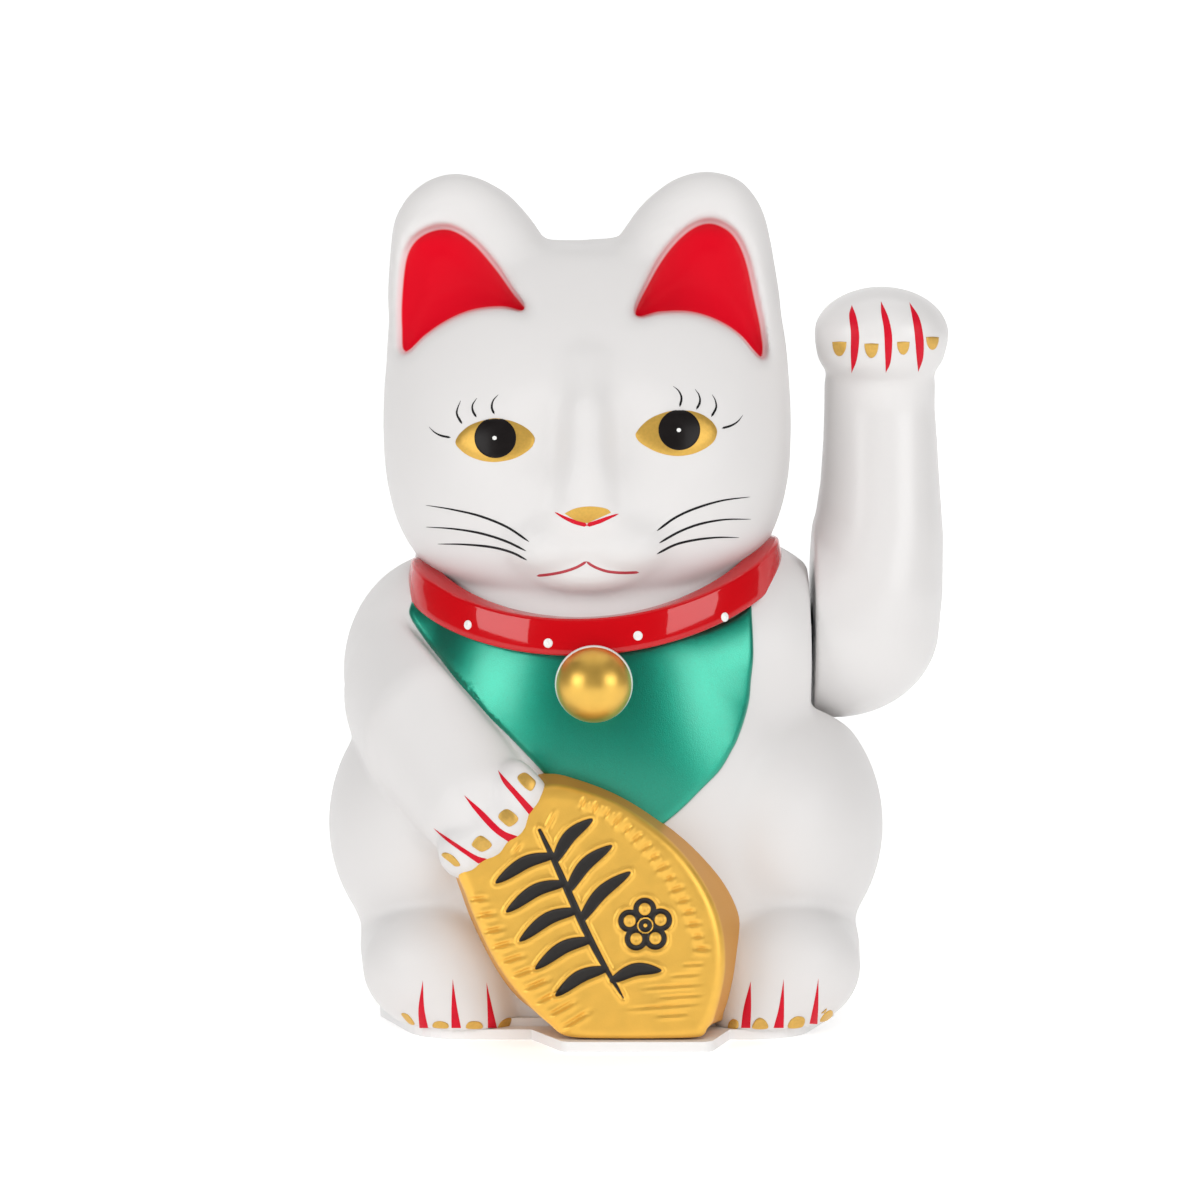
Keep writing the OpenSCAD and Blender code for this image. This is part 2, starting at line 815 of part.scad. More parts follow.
module pendulum_lever() {
    magnet_z = axle_z - pendulum_l;
    color("ivory")
        difference() {
            union() {
                along_x(lever_x - 4, seam_y, axle_z, 4.5, 8);
                box([lever_x - 1.5, seam_y - 4, magnet_z + 5], [lever_x + 1.5, seam_y + 4, axle_z]);
                translate([lever_x, seam_y, magnet_z + 0.6])
                    cylinder(r = magnet_d / 2 + 1.4, h = 6, $fn = fine_fn);
            }
            along_x(lever_x - 6, seam_y, axle_z, axle_r, 12);
            translate([lever_x, seam_y, magnet_z - 1])
                cylinder(r = magnet_d / 2 + 0.06, h = magnet_t + 1, $fn = fine_fn);
        }
}

module counterweight()
    color("slategray")
        difference() {
            along_x(lever_x - weight_l / 2, weight_y, weight_z, weight_r, weight_l);
            box([lever_x - 1.5, seam_y - 4, 0], [lever_x + 1.5, seam_y + 4, far]);
        }

module magnet()
    color("silver")
        translate([lever_x, seam_y, axle_z - pendulum_l])
            cylinder(r = magnet_d / 2, h = magnet_t, $fn = fine_fn);

module swing_arm_form(t = 0)
    intersection() {
        limb(swing_arm, t, limb_fn);
        box([arm_x + t, -far, -far], [far, far, far]);
    }

module arm_shell()
    difference() {
        swing_arm_form();
        swing_arm_form(arm_wall);
        // seat of the hub
        along_x(arm_x - 1, seam_y, axle_z, 7.1, 4, 32);
    }

module arm_front_shell()
    color("whitesmoke")
        intersection() {
            arm_shell();
            front_half();
        }

module arm_back_shell()
    color("whitesmoke")
        intersection() {
            arm_shell();
            back_half();
        }

module arm_hub()
    color("ivory")
        difference() {
            union() {
                along_x(arm_x, seam_y, axle_z, 7, arm_wall);
                along_x(arm_x + arm_wall, seam_y, axle_z, 8.6, 1.6);
                along_x(arm_x + arm_wall, seam_y, axle_z, 4, 12);
            }
            along_x(arm_x - 1, seam_y, axle_z, axle_r, 15.9);
        }

front_shell();
back_shell();
collar_front();
collar_back();
bib();
bell();
koban_coin();
base_plate();
base_screws();
battery_cover();
battery();
contact_spring();
contact_plates();
mechanism_frame();
frame_screws();
axle_bushes();
circuit_board();
board_screws();
coil_bobbin();
coil_winding();
transistor();
capacitor();
resistor();
switch_body();
switch_knob();
wire_cell_to_switch();
wire_switch_to_board();
wire_cell_to_board();
axle();
axle_clips();
pendulum_lever();
counterweight();
magnet();
arm_front_shell();
arm_back_shell();
arm_hub();
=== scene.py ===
# Beckoning cat figurine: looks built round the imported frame.
# Shapes are worked out in millimetres in the frame's own axes and turned into metres at the end.
import math

import bpy
import numpy as np
import openvdb
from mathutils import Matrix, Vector
from mathutils.bvhtree import BVHTree
from mathutils.geometry import delaunay_2d_cdt


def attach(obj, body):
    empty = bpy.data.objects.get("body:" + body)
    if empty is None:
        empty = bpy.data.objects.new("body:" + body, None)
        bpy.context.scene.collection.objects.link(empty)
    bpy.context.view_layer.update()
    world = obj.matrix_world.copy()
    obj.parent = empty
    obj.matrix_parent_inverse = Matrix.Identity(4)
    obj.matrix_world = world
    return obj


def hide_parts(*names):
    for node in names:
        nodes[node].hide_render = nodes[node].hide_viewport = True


MM = 0.001
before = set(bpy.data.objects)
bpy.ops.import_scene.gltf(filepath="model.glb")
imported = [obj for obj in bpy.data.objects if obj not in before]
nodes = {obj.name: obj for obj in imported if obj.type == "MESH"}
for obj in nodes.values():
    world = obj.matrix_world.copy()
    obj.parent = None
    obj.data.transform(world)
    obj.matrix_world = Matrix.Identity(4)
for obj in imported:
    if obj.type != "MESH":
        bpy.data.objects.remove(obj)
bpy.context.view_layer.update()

# ---------------------------------------------------------------- camera
TARGET = np.array([-1.7, 0.0, 97.6])
DIST = 1100.0
ELEV = math.radians(5.0)
VIEW = np.array([0.0, math.cos(ELEV), -math.sin(ELEV)])
EYE = TARGET - VIEW * DIST
cam_data = bpy.data.cameras.new("camera")
cam_data.lens = 138.1
cam_data.sensor_width = 36.0
cam_data.clip_start = 0.05
cam_data.clip_end = 50.0
cam = bpy.data.objects.new("camera", cam_data)
cam.location = Vector(EYE * MM)
cam.rotation_euler = (math.pi / 2 - ELEV, 0.0, 0.0)
bpy.context.scene.collection.objects.link(cam)
bpy.context.scene.camera = cam
bpy.context.scene.view_settings.view_transform = "Standard"

# ---------------------------------------------------------------- materials


def add_node(t, kind, inputs=None, **settings):
    """Adds a shader node. Each of its inputs gets a value or the socket that feeds it."""
    n = t.nodes.new("ShaderNode" + kind)
    for key, value in settings.items():
        setattr(n, key, value)
    for key, value in (inputs or {}).items():
        if isinstance(value, bpy.types.NodeSocket):
            t.links.new(value, n.inputs[key])
        else:
            n.inputs[key].default_value = value
    return n.outputs


def mix_colors(t, factor, first, second):
    return add_node(t, "Mix", data_type="RGBA", inputs={0: factor, 6: first, 7: second})[2]


def node_material(name, color, rough=0.4, metal=0.0, coat=0.0, coat_rough=0.1, spec=0.5,
                  vary=0.04, vary_scale=60.0, rough_vary=0.04, bump=0.0, bump_scale=900.0,
                  bump_dist=0.0002, stretch=(1, 1, 1)):
    """A procedural material: one noise varies its colour and roughness, another gives its skin."""
    m = bpy.data.materials.new(name)
    m.use_nodes = True
    t = m.node_tree
    p = t.nodes["Principled BSDF"].inputs
    p["Metallic"].default_value = metal
    p["Coat Weight"].default_value = coat
    p["Coat Roughness"].default_value = coat_rough
    p["Specular IOR Level"].default_value = spec
    place = add_node(t, "Mapping", {"Vector": add_node(t, "TexCoord")["Object"],
                                    "Scale": stretch})[0]
    noise = add_node(t, "TexNoise", {"Vector": place, "Scale": vary_scale, "Detail": 4.0})["Fac"]
    lo = [max(c * (1 - vary), 0) for c in color]
    hi = [min(c * (1 + vary), 1) for c in color]
    t.links.new(mix_colors(t, noise, (*lo, 1), (*hi, 1)), p["Base Color"])
    spread = {"Value": noise, "To Min": max(rough - rough_vary, 0.02),
              "To Max": min(rough + rough_vary, 1)}
    t.links.new(add_node(t, "MapRange", spread)[0], p["Roughness"])
    if bump:
        fine = add_node(t, "TexNoise", {"Vector": place, "Scale": bump_scale, "Detail": 3.0})["Fac"]
        skin = {"Height": fine, "Strength": bump, "Distance": bump_dist}
        t.links.new(add_node(t, "Bump", skin)[0], p["Normal"])
    return m


def masked(m, attribute, edge, color, rough=None, halo=None, halo_color=None, metal=None):
    """Adds a painted region to a material: where the attribute, a distance in mm, is below zero."""
    t = m.node_tree
    p = t.nodes["Principled BSDF"].inputs
    far = add_node(t, "Attribute", attribute_name=attribute)["Fac"]
    base = p["Base Color"].links[0].from_socket
    if halo:
        fade = add_node(t, "MapRange", interpolation_type="SMOOTHERSTEP",
                        inputs={"Value": far, "From Min": halo[0], "From Max": 0.0,
                                "To Min": 0.0, "To Max": halo[1]})[0]
        base = mix_colors(t, fade, base, (*halo_color, 1))
    inside = add_node(t, "MapRange", interpolation_type="SMOOTHSTEP",
                      inputs={"Value": far, "From Min": edge, "From Max": -edge})[0]
    t.links.new(mix_colors(t, inside, base, (*color, 1)), p["Base Color"])
    for key, value in (("Roughness", rough), ("Metallic", metal)):
        if value is not None:
            old = p[key].links[0].from_socket if p[key].links else p[key].default_value
            new = add_node(t, "Mix", data_type="FLOAT", inputs={0: inside, 2: old, 3: value})[0]
            t.links.new(new, p[key])
    return m


RED = (0.68, 0.0, 0.012)


def satin(name, **more):
    """The satin white of the mouldings."""
    return node_material(name, (0.705, 0.688, 0.680), 0.36, vary=0.012, vary_scale=35,
                         rough_vary=0.05, coat_rough=0.22, bump=0.10, bump_scale=420,
                         bump_dist=0.00012, **more)


white = satin("satin_white", coat=0.18)
white_ears = masked(satin("satin_white_ears", coat=0.04, spec=0.12), "ear_mm", 0.28, RED,
                    rough=0.42, halo=(2.2, 0.42), halo_color=(0.86, 0.30, 0.34))
arm_white = satin("satin_white_arm", coat=0.18)
lacquer = node_material("collar_lacquer", (0.55, 0.0, 0.004), 0.25, coat=0.8, coat_rough=0.04,
                        spec=0.05,
                        vary=0.05, vary_scale=40, rough_vary=0.02)
stud_white = node_material("stud_white", (0.82, 0.82, 0.80), 0.3, coat=0.3, vary=0.02)
red_paint = node_material("red_paint", (0.60, 0.003, 0.02), 0.42, spec=0.2, vary=0.16,
                          vary_scale=900,
                          rough_vary=0.06)
ink = node_material("black_paint", (0.010, 0.009, 0.010), 0.4, spec=0.15, vary=0.4, vary_scale=700)
iris_black = node_material("iris_black", (0.010, 0.008, 0.008), 0.35, coat=0.05, coat_rough=0.15,
                           spec=0.12, vary=0.3, vary_scale=500)
gold_paint = node_material("gold_paint", (0.68, 0.41, 0.08), 0.45, metal=0.6, vary=0.16,
                           vary_scale=1500, rough_vary=0.08, bump=0.25, bump_scale=5000,
                           bump_dist=0.00004)
claw_gold = node_material("claw_gold", (0.66, 0.40, 0.09), 0.42, metal=0.6, vary=0.2,
                          vary_scale=1400, rough_vary=0.08)
bell_gold = node_material("bell_gold", (0.82, 0.50, 0.10), 0.38, metal=0.8, vary=0.10,
                          vary_scale=260, rough_vary=0.05, bump=0.2, bump_scale=3500,
                          bump_dist=0.00004)
# the coin's side walls, from about 2.4 mm behind its face, get a darker, browner, duller copy of
# its gold: painted shade
coin_gold = masked(masked(
    node_material("coin_gold", (0.88, 0.51, 0.085), 0.42, metal=0.6, vary=0.10, vary_scale=220,
                  rough_vary=0.06, bump=0.3, bump_scale=2600, bump_dist=0.00006),
    "painted_shade_side_mm", 0.9, (0.66, 0.31, 0.05), rough=0.5, metal=0.3),
    "ink_mm", 0.07, (0.012, 0.010, 0.009), rough=0.4, metal=0.0)
lip_paint = node_material("lip_paint", (0.42, 0.03, 0.045), 0.4, vary=0.2, vary_scale=900,
                          rough_vary=0.06)
bib_green = node_material("bib_paint", (0.0, 0.33, 0.215), 0.31, metal=0.9, coat=0.8,
                          coat_rough=0.28, spec=0.1, vary=0.2, vary_scale=3200, rough_vary=0.07,
                          bump=0.7,
                          bump_scale=4200, bump_dist=0.00009)
bib_green.node_tree.nodes["Principled BSDF"].inputs["Coat IOR"].default_value = 1.6
rim_light = node_material("edge_line", (0.78, 0.82, 0.80), 0.35, vary=0.02)

# ---------------------------------------------------------------- distance fields


class Field:
    """A block of sampled distances in mm, positive outside."""

    def __init__(self, lo, hi, h, fill=30.0):
        self.h = h
        self.lo = np.array(lo, float)
        self.n = np.ceil((np.array(hi, float) - self.lo) / h).astype(int) + 1
        self.d = np.full(self.n, fill, np.float32)

    def window(self, lo, hi):
        a = np.maximum(np.floor((np.array(lo) - self.lo) / self.h).astype(int), 0)
        b = np.minimum(np.ceil((np.array(hi) - self.lo) / self.h).astype(int) + 1, self.n)
        ax = [(self.lo[i] + self.h * np.arange(a[i], b[i])).astype(np.float32) for i in range(3)]
        sl = tuple(slice(a[i], b[i]) for i in range(3))
        return sl, ax[0][:, None, None], ax[1][None, :, None], ax[2][None, None, :]

    def all(self):
        return self.window(self.lo, self.lo + self.h * self.n)

    def blur(self, mm):
        s = mm / self.h
        r = max(1, int(2.5 * s))
        w = np.exp(-0.5 * (np.arange(-r, r + 1) / s) ** 2)
        w = (w / w.sum()).astype(np.float32)
        for axis in range(3):
            pad = [(r, r) if i == axis else (0, 0) for i in range(3)]
            p = np.pad(self.d, pad, mode="edge")
            out = np.zeros_like(self.d)
            for k in range(2 * r + 1):
                sl = [slice(None)] * 3
                sl[axis] = slice(k, k + self.d.shape[axis])
                out += w[k] * p[tuple(sl)]
            self.d = out

    def mesh(self, iso=0.0, step=1):
        """Vertices in mm and quads of the surface where the distance is iso."""
        d = np.ascontiguousarray(np.clip(self.d[::step, ::step, ::step] - iso, -4, 4))
        g = openvdb.FloatGrid(4.0)
        g.copyFromArray(d)
        pts, tris, quads = g.convertToPolygons(0.0, 0.0)
        return np.asarray(pts, float) * self.h * step + self.lo, np.asarray(quads)[:, ::-1]


def smin(a, b, k):
    h = np.maximum(k - np.abs(a - b), 0.0) / k
    return np.minimum(a, b) - h * h * k * 0.25


def ell(x, y, z, c, r):
    qx, qy, qz = (x - c[0]) / r[0], (y - c[1]) / r[1], (z - c[2]) / r[2]
    k0 = np.sqrt(qx * qx + qy * qy + qz * qz)
    k1 = np.sqrt((qx / r[0]) ** 2 + (qy / r[1]) ** 2 + (qz / r[2]) ** 2)
    return k0 * (k0 - 1) / np.maximum(k1, 1e-4)


def add_chain(f, blobs, k=2.0, samples=9, sign=1):
    """Joins a chain of ellipsoids, blended one into the next, to the field f."""
    keys = []
    for (c0, r0), (c1, r1) in zip(blobs[:-1], blobs[1:]):
        for t in np.arange(samples) / samples:
            keys.append((np.array(c0) * (1 - t) + np.array(c1) * t,
                         np.array(r0) * (1 - t) + np.array(r1) * t))
    keys.append((np.array(blobs[-1][0], float), np.array(blobs[-1][1], float)))
    lo = np.min([c - r for c, r in keys], axis=0) - 8
    hi = np.max([c + r for c, r in keys], axis=0) + 8
    sl, x, y, z = f.window(lo, hi)
    part = np.full(f.d[sl].shape, 30.0, np.float32)
    for c, r in keys:
        np.minimum(part, ell(x, y, z, c, r), out=part)
    if sign > 0:
        f.d[sl] = smin(f.d[sl], part, k)
    else:
        f.d[sl] = -smin(-f.d[sl], part, k)


def cubic(at, keys, values):
    """Smooth values between rows, flat beyond the first and the last."""
    slope = np.gradient(values, keys)
    i = np.clip(np.searchsorted(keys, at) - 1, 0, len(keys) - 2)
    w = keys[i + 1] - keys[i]
    t = np.clip((at - keys[i]) / w, 0, 1)
    return ((1 + 2 * t) * (1 - t) ** 2 * values[i] + t * (1 - t) ** 2 * w * slope[i]
            + t * t * (3 - 2 * t) * values[i + 1] + t * t * (t - 1) * w * slope[i + 1])


def add_loft(f, rows, k=2.0, soft=2.5):
    """Joins a stack of ovals [z, left, right, front, back, squareness] to the field f."""
    rows = np.array(rows, float)
    zs = f.lo[2] + f.h * np.arange(f.n[2])
    keys = rows[:, 0]
    r = max(1, int(2 * soft / f.h))
    w = np.exp(-0.5 * (np.arange(-r, r + 1) * f.h / soft) ** 2)
    w /= w.sum()

    def level(s):
        return np.convolve(np.pad(s, r, mode="edge"), w, mode="valid").astype(np.float32)

    def squares(v):
        s = cubic(zs, keys, v * v)
        for end, inner, beyond in ((0, 1, zs < keys[0]), (-1, -2, zs > keys[-1])):
            s = np.where(beyond, v[end] ** 2 - np.abs(zs - keys[end]) * max(v[end] ** 2 / 5, 40), s)
        return np.sqrt(np.maximum(level(s), 0.3))

    a, fr, bk = squares((rows[:, 2] - rows[:, 1]) / 2), squares(-rows[:, 3]), squares(rows[:, 4])
    e = level(cubic(zs, keys, rows[:, 5]))
    cx = level(cubic(zs, keys, (rows[:, 1] + rows[:, 2]) / 2))
    sl, x, y, z = f.window([f.lo[0], f.lo[1], keys[0] - 8], [1e3, 1e3, keys[-1] + 8])
    s = sl[2]
    u = np.abs(x - cx[s][None, None, :]) / a[s][None, None, :]
    v = np.where(y < 0, -y / fr[s][None, None, :], y / bk[s][None, None, :])
    n = e[s][None, None, :]
    g = (u ** n + v ** n + 1e-6) ** (1 / n)
    gx, gy, gz = np.gradient(g, f.h)
    flat = gx * gx + gy * gy
    part = (g - 1) / np.maximum(np.sqrt(flat + np.minimum(gz * gz, 9 * flat)), 0.004)
    part = np.clip(part, -30, 30).astype(np.float32)
    part[:, :, (a[s] < 0.6) | (fr[s] < 0.6)] = 30
    f.d[sl] = smin(f.d[sl], part, k)


def smooth_loop(points, step=0.5, closed=True):
    """A Catmull-Rom curve through the points, evenly spaced."""
    p = np.array(points, float)
    if closed:
        q = np.vstack([p[-1], p, p[0], p[1]])
    else:
        q = np.vstack([2 * p[0] - p[1], p, 2 * p[-1] - p[-2]])
    out = []
    for i in range(1, len(q) - 2):
        for t in np.arange(12) / 12:
            a, b, c, d = q[i - 1], q[i], q[i + 1], q[i + 2]
            out.append(0.5 * (2 * b + (c - a) * t + (2 * a - 5 * b + 4 * c - d) * t * t
                              + (3 * b - 3 * c + d - a) * t ** 3))
    out.append(p[0] if closed else p[-1])
    out = np.array(out)
    s = np.concatenate([[0], np.cumsum(np.linalg.norm(np.diff(out, axis=0), axis=1))])
    m = max(3, int(round(s[-1] / step)))
    u = np.linspace(0, s[-1], m + 1)
    r = np.stack([np.interp(u, s, out[:, k]) for k in range(out.shape[1])], axis=1)
    return r[:-1] if closed else r


def poly_distance(px, pz, loop):
    """Signed distance in mm from points to a closed loop, negative inside."""
    shape = np.broadcast(px, pz).shape
    px, pz = np.broadcast_to(px, shape).ravel(), np.broadcast_to(pz, shape).ravel()
    best = np.full(px.shape, 1e9)
    inside = np.zeros(px.shape, bool)
    n = len(loop)
    for i in range(n):
        ax, az = loop[i]
        bx, bz = loop[(i + 1) % n]
        ex, ez = bx - ax, bz - az
        wx, wz = px - ax, pz - az
        t = np.clip((wx * ex + wz * ez) / max(ex * ex + ez * ez, 1e-9), 0, 1)
        best = np.minimum(best, (wx - ex * t) ** 2 + (wz - ez * t) ** 2)
        cross = (az > pz) != (bz > pz)
        with np.errstate(divide="ignore", invalid="ignore"):
            xi = ax + (pz - az) * ex / (ez if ez else 1e-9)
        inside ^= cross & (px < xi)
    return np.where(inside, -1, 1).reshape(shape) * np.sqrt(best).reshape(shape)


# ---------------------------------------------------------------- the cat's form, in mm
SEAM_Y = 3.0                        # plane between the front and back mouldings
SIDE_X = 48.0                       # flat side of the body, beside the swinging arm
AXLE = np.array([0.0, 3.0, 90.0])   # middle of the arm's axle
RIM_Z = 2.4                         # top of the plinth's rim
HX = -4.8                           # middle of the face

TORSO = [
    [-12, -51, 51, -40, 43, 2.3], [-1, -52, 52, -41, 43, 2.3], [8, -56, 56, -44, 47, 2.3],
    [20, -59, 59, -46, 49.5, 2.3], [33, -59.5, 59.5, -46.5, 50, 2.3], [50, -56, 56, -47, 50, 2.2],
    [66, -52, 50, -47, 48, 2.2], [80, -50, 46, -45.5, 44, 2.2], [92, -46, 42, -42.5, 40, 2.2],
    [101, -42, 35, -37, 36, 2.2], [112, -34, 24, -28, 30, 2]]
HEAD = [
    [96, -24, 14, -20, 18, 2], [100, -36, 26, -34, 26, 2.1], [106, -43.4, 34.4, -39.5, 32, 2.2],
    [114, -48.9, 39.5, -43, 36, 2.3], [124, -52.0, 42.6, -44.4, 39, 2.3],
    [138, -53.2, 43.7, -42.5, 41, 2.3], [150, -52.8, 43.2, -38, 41, 2.3],
    [162, -50.8, 41.5, -30, 38, 2.3], [171, -45, 36, -21.5, 33, 2.3],
    [179, -33.5, 24.5, -12, 24, 2.2]]
HAUNCH_L = ((-38, -4, 45), (28.4, 38, 33))
HAUNCH_R = ((38, -4, 44.5), (27.8, 38, 32.5))
FOOT_L = [((-37.6, -33.5, 15), (19.4, 16, 15.5)), ((-39, -12, 16), (19.6, 17, 17))]
FOOT_R = [((39.5, -33.5, 15), (19.5, 16, 15.5)), ((40, -12, 16), (20, 17, 17))]
TOE_BASE = [((-33.5, -33.5, 6), (14, 15.6, 14)), ((36, -33.5, 6), (14.5, 15.6, 14))]
SHOULDER_L = ((-38.8, 2, 80.6), (24.3, 27.5, 28.2))
SHOULDER_R = ((26, 0, 86), (31, 33, 28))
HOLDING_ARM = [((-41.8, -8, 76), (20.3, 22, 24)), ((-39, -28, 69), (18.2, 16.5, 20)),
               ((-29.5, -46.5, 54.5), (13.6, 12, 13.6))]
ARM_EDGE = (-47.5, 96.9), (-10.9, 56.2)   # the arm's straight upper edge, against the bib
TOES = [((-19.6, -53.0, 58.6), (6.8, 7, 7.2)), ((-22.6, -53.4, 52.6), (6.8, 7, 7.0)),
        ((-27.4, -53.8, 48.2), (6.8, 7, 6.8)), ((-32.2, -54.0, 45.2), (6.2, 7, 6.8))]
TAIL = [((20, 42, 14), (10, 9, 10)), ((30, 40, 34), (8.5, 8, 10)), ((22, 41, 50), (8, 8, 8))]
EAR_L = [(-48.8, 153), (-51.8, 166), (-51.6, 178), (-50.7, 186.5), (-49.2, 190.4), (-46.4, 194.2),
         (-41.6, 197.5), (-36, 198.7), (-30.1, 197.5), (-23.9, 194.1), (-20.3, 190.6),
         (-17.2, 186.8), (-14.6, 182.5), (-12.4, 177), (-11.6, 171), (-13.5, 164), (-20, 156),
         (-36, 150)]
EAR_R = [(38.5, 154), (41.0, 166), (39.6, 178), (38.1, 186), (36.7, 190.4), (34.4, 194.2),
         (30.6, 197.6), (23.5, 199.2), (16.5, 197.6), (11.2, 194.1), (7.4, 190.4), (4.8, 186.8),
         (2.0, 182.5), (-0.2, 177), (-0.8, 171), (1.5, 164), (9, 156), (26, 150)]
RED_L = [(-47.6, 156.8), (-48.4, 163), (-48.4, 170), (-47.4, 179), (-45, 183.4), (-41, 185.6),
         (-36.5, 185.6), (-31.5, 182.4), (-26.5, 176.8), (-22.3, 171), (-19.2, 166.8),
         (-24.6, 167.8), (-31.5, 167.1), (-37.5, 164.7), (-43, 161)]
RED_R = [(36.5, 155.2), (36.2, 162), (34.6, 170), (32.6, 178.8), (30.0, 184.2), (26.5, 186.8),
         (22.8, 187.2), (18.6, 185), (14.2, 180.4), (10.2, 174), (6.6, 165.8),
         (12.5, 166.6), (19.5, 166.6), (26, 164.6), (31.5, 161)]


def ear(f, outline, red):
    """A thick rounded ear with a hollow front, joined to the field f."""
    loop = smooth_loop(outline, 1.2)
    hole = smooth_loop(red, 1.0)
    sl, x, y, z = f.window([loop[:, 0].min() - 6, -40, loop[:, 1].min() - 6],
                           [loop[:, 0].max() + 6, 20, loop[:, 1].max() + 6])
    flat = poly_distance(x[:, :, 0], z[0], loop)[:, None, :]
    lean = np.clip((190 - z) / 30, 0, 1.3)
    mid = 0.5 - 4.5 * lean
    half = 8.6 + 3.0 * lean
    u = flat + half
    v = np.abs(y - mid)
    d = np.sqrt(np.maximum(u, 0) ** 2 + v ** 2) - half
    d = np.where(u < 0, v - half, d)
    f.d[sl] = smin(f.d[sl], d.astype(np.float32), 3.0)
    inner = poly_distance(x[:, :, 0], z[0], hole)[:, None, :]
    floor = mid - half + 5.2 + 1.6 * np.clip(-inner / 6, 0, 1)
    cut = np.maximum(inner - 0.6, y - floor)
    f.d[sl] = -smin(-f.d[sl], cut.astype(np.float32), 2.6)


def round_cut(f, x0, r):
    """Clears the space that the swinging arm needs beside the body."""
    sl, x, y, z = f.window([x0 - 8, -60, 50], [90, 70, 140])
    rad = np.sqrt((y - AXLE[1]) ** 2 + (z - AXLE[2]) ** 2) - r
    cut = np.maximum(x0 - x, rad)
    f.d[sl] = -smin(-f.d[sl], cut.astype(np.float32), 0.8)


def join(f, g, k):
    """Blends the smaller field g into f; their samples share one spacing."""
    start = np.round((g.lo - f.lo) / f.h).astype(int)
    lo, hi = np.maximum(start, 0), np.minimum(start + g.d.shape, f.d.shape)
    fs = tuple(slice(a, b) for a, b in zip(lo, hi))
    gs = tuple(slice(a - c, b - c) for a, b, c in zip(lo, hi, start))
    f.d[fs] = smin(f.d[fs], g.d[gs], k)


def body_field(h):
    f = Field([-70, -64, -6], [70, 56, 203], h)
    add_loft(f, TORSO, 1.0)
    add_chain(f, [SHOULDER_R, SHOULDER_R], 6.0, 1)
    sl, x, y, z = f.window([SIDE_X - 6, -70, 60], [75, 70, 125])
    f.d[sl] = -smin(-f.d[sl], (SIDE_X - x + 0 * y + 0 * z).astype(np.float32), 1.2)
    add_chain(f, [HAUNCH_L, HAUNCH_L], 2.2, 1)
    add_chain(f, [HAUNCH_R, HAUNCH_R], 2.2, 1)
    add_chain(f, [SHOULDER_L, SHOULDER_L], 4.0, 1)
    add_chain(f, FOOT_L, 2.0)
    add_chain(f, FOOT_R, 2.0)
    for blob in TOE_BASE:
        add_chain(f, [blob, blob], 3.0, 1)
    add_chain(f, TAIL, 1.8)
    g = Field([-70, -64, 88], [70, 56, 203], h)
    add_loft(g, HEAD, 1.0, 2.5)
    # nose ridge, whisker pads and chin
    for side in (-1, 1):
        socket = ((HX + side * 11.5, -51.2, 141.5), (11, 10.8, 14))
        add_chain(g, [socket, socket], 6.0, 1, sign=-1)
    add_chain(g, [((HX, -30.8, 150), (6.8, 7.0, 8)), ((HX, -37.6, 142), (5.4, 7.2, 9)),
                  ((HX, -41.7, 130), (5.6, 6.8, 9)), ((HX, -42.8, 123.2), (7.2, 6.2, 5.0))], 4.0)
    for side in (-1, 1):
        add_chain(g, [((HX + side * 7.6, -39.4, 113.6), (10.2, 8.2, 7.2))] * 2, 4.5, 1)
    add_chain(g, [((HX, -37.6, 107.4), (12.4, 7.6, 5.0))] * 2, 1.8, 1)
    ear(g, EAR_L, RED_L)
    ear(g, EAR_R, RED_R)
    g.blur(0.75)
    join(f, g, 2.0)
    arm = Field([-68, -64, 30], [0, 24, 112], h)
    add_chain(arm, HOLDING_ARM, 2.0)
    for toe in TOES:
        add_chain(arm, [toe, toe], 1.2, 1)
    sl, x, y, z = arm.all()
    (x0, z0), (x1, z1) = ARM_EDGE
    run = math.hypot(x1 - x0, z1 - z0)
    past = ((x - x0) * (z0 - z1) + (z + (y + 45) * math.tan(ELEV) - z0) * (x1 - x0)) / run
    arm.d = -smin(-arm.d, -(past - 0.4 * np.maximum(y + 14, 0)).astype(np.float32), 1.4)
    join(f, arm, 1.2)
    round_cut(f, SIDE_X, 22.9)
    f.blur(0.6)
    return f


SWING_ARM = [
    ((54.5, 3, 91), (25, 21.4, 21.8)), ((62, 3, 100), (18.3, 20, 20)),
    ((64.8, 3, 112), (15.6, 17.5, 18)), ((65.2, 3, 124), (14.3, 15.5, 16)),
    ((65.2, 3, 135), (13.6, 14, 14)), ((65, 3, 143), (13.2, 13, 12)),
    ((65, 2.4, 149), (13.2, 13, 8))]
SWING_PAW = [((65, -1.4, 157.6), (15.3, 14.4, 9.6)), ((65, -2.2, 161), (16.0, 14.8, 11.4))]
ARM_X = 49.1


def arm_field(h):
    f = Field([44, -24, 64], [86, 30, 178], h)
    add_chain(f, SWING_ARM, 1.0, 8)
    add_chain(f, SWING_PAW, 2.4, 6)
    sl, x, y, z = f.all()
    f.blur(0.8)
    f.d = -smin(-f.d, (x - ARM_X + 0 * y + 0 * z).astype(np.float32), 0.8)
    return f


# ---------------------------------------------------------------- meshes


def link(o):
    bpy.context.scene.collection.objects.link(o)
    return o


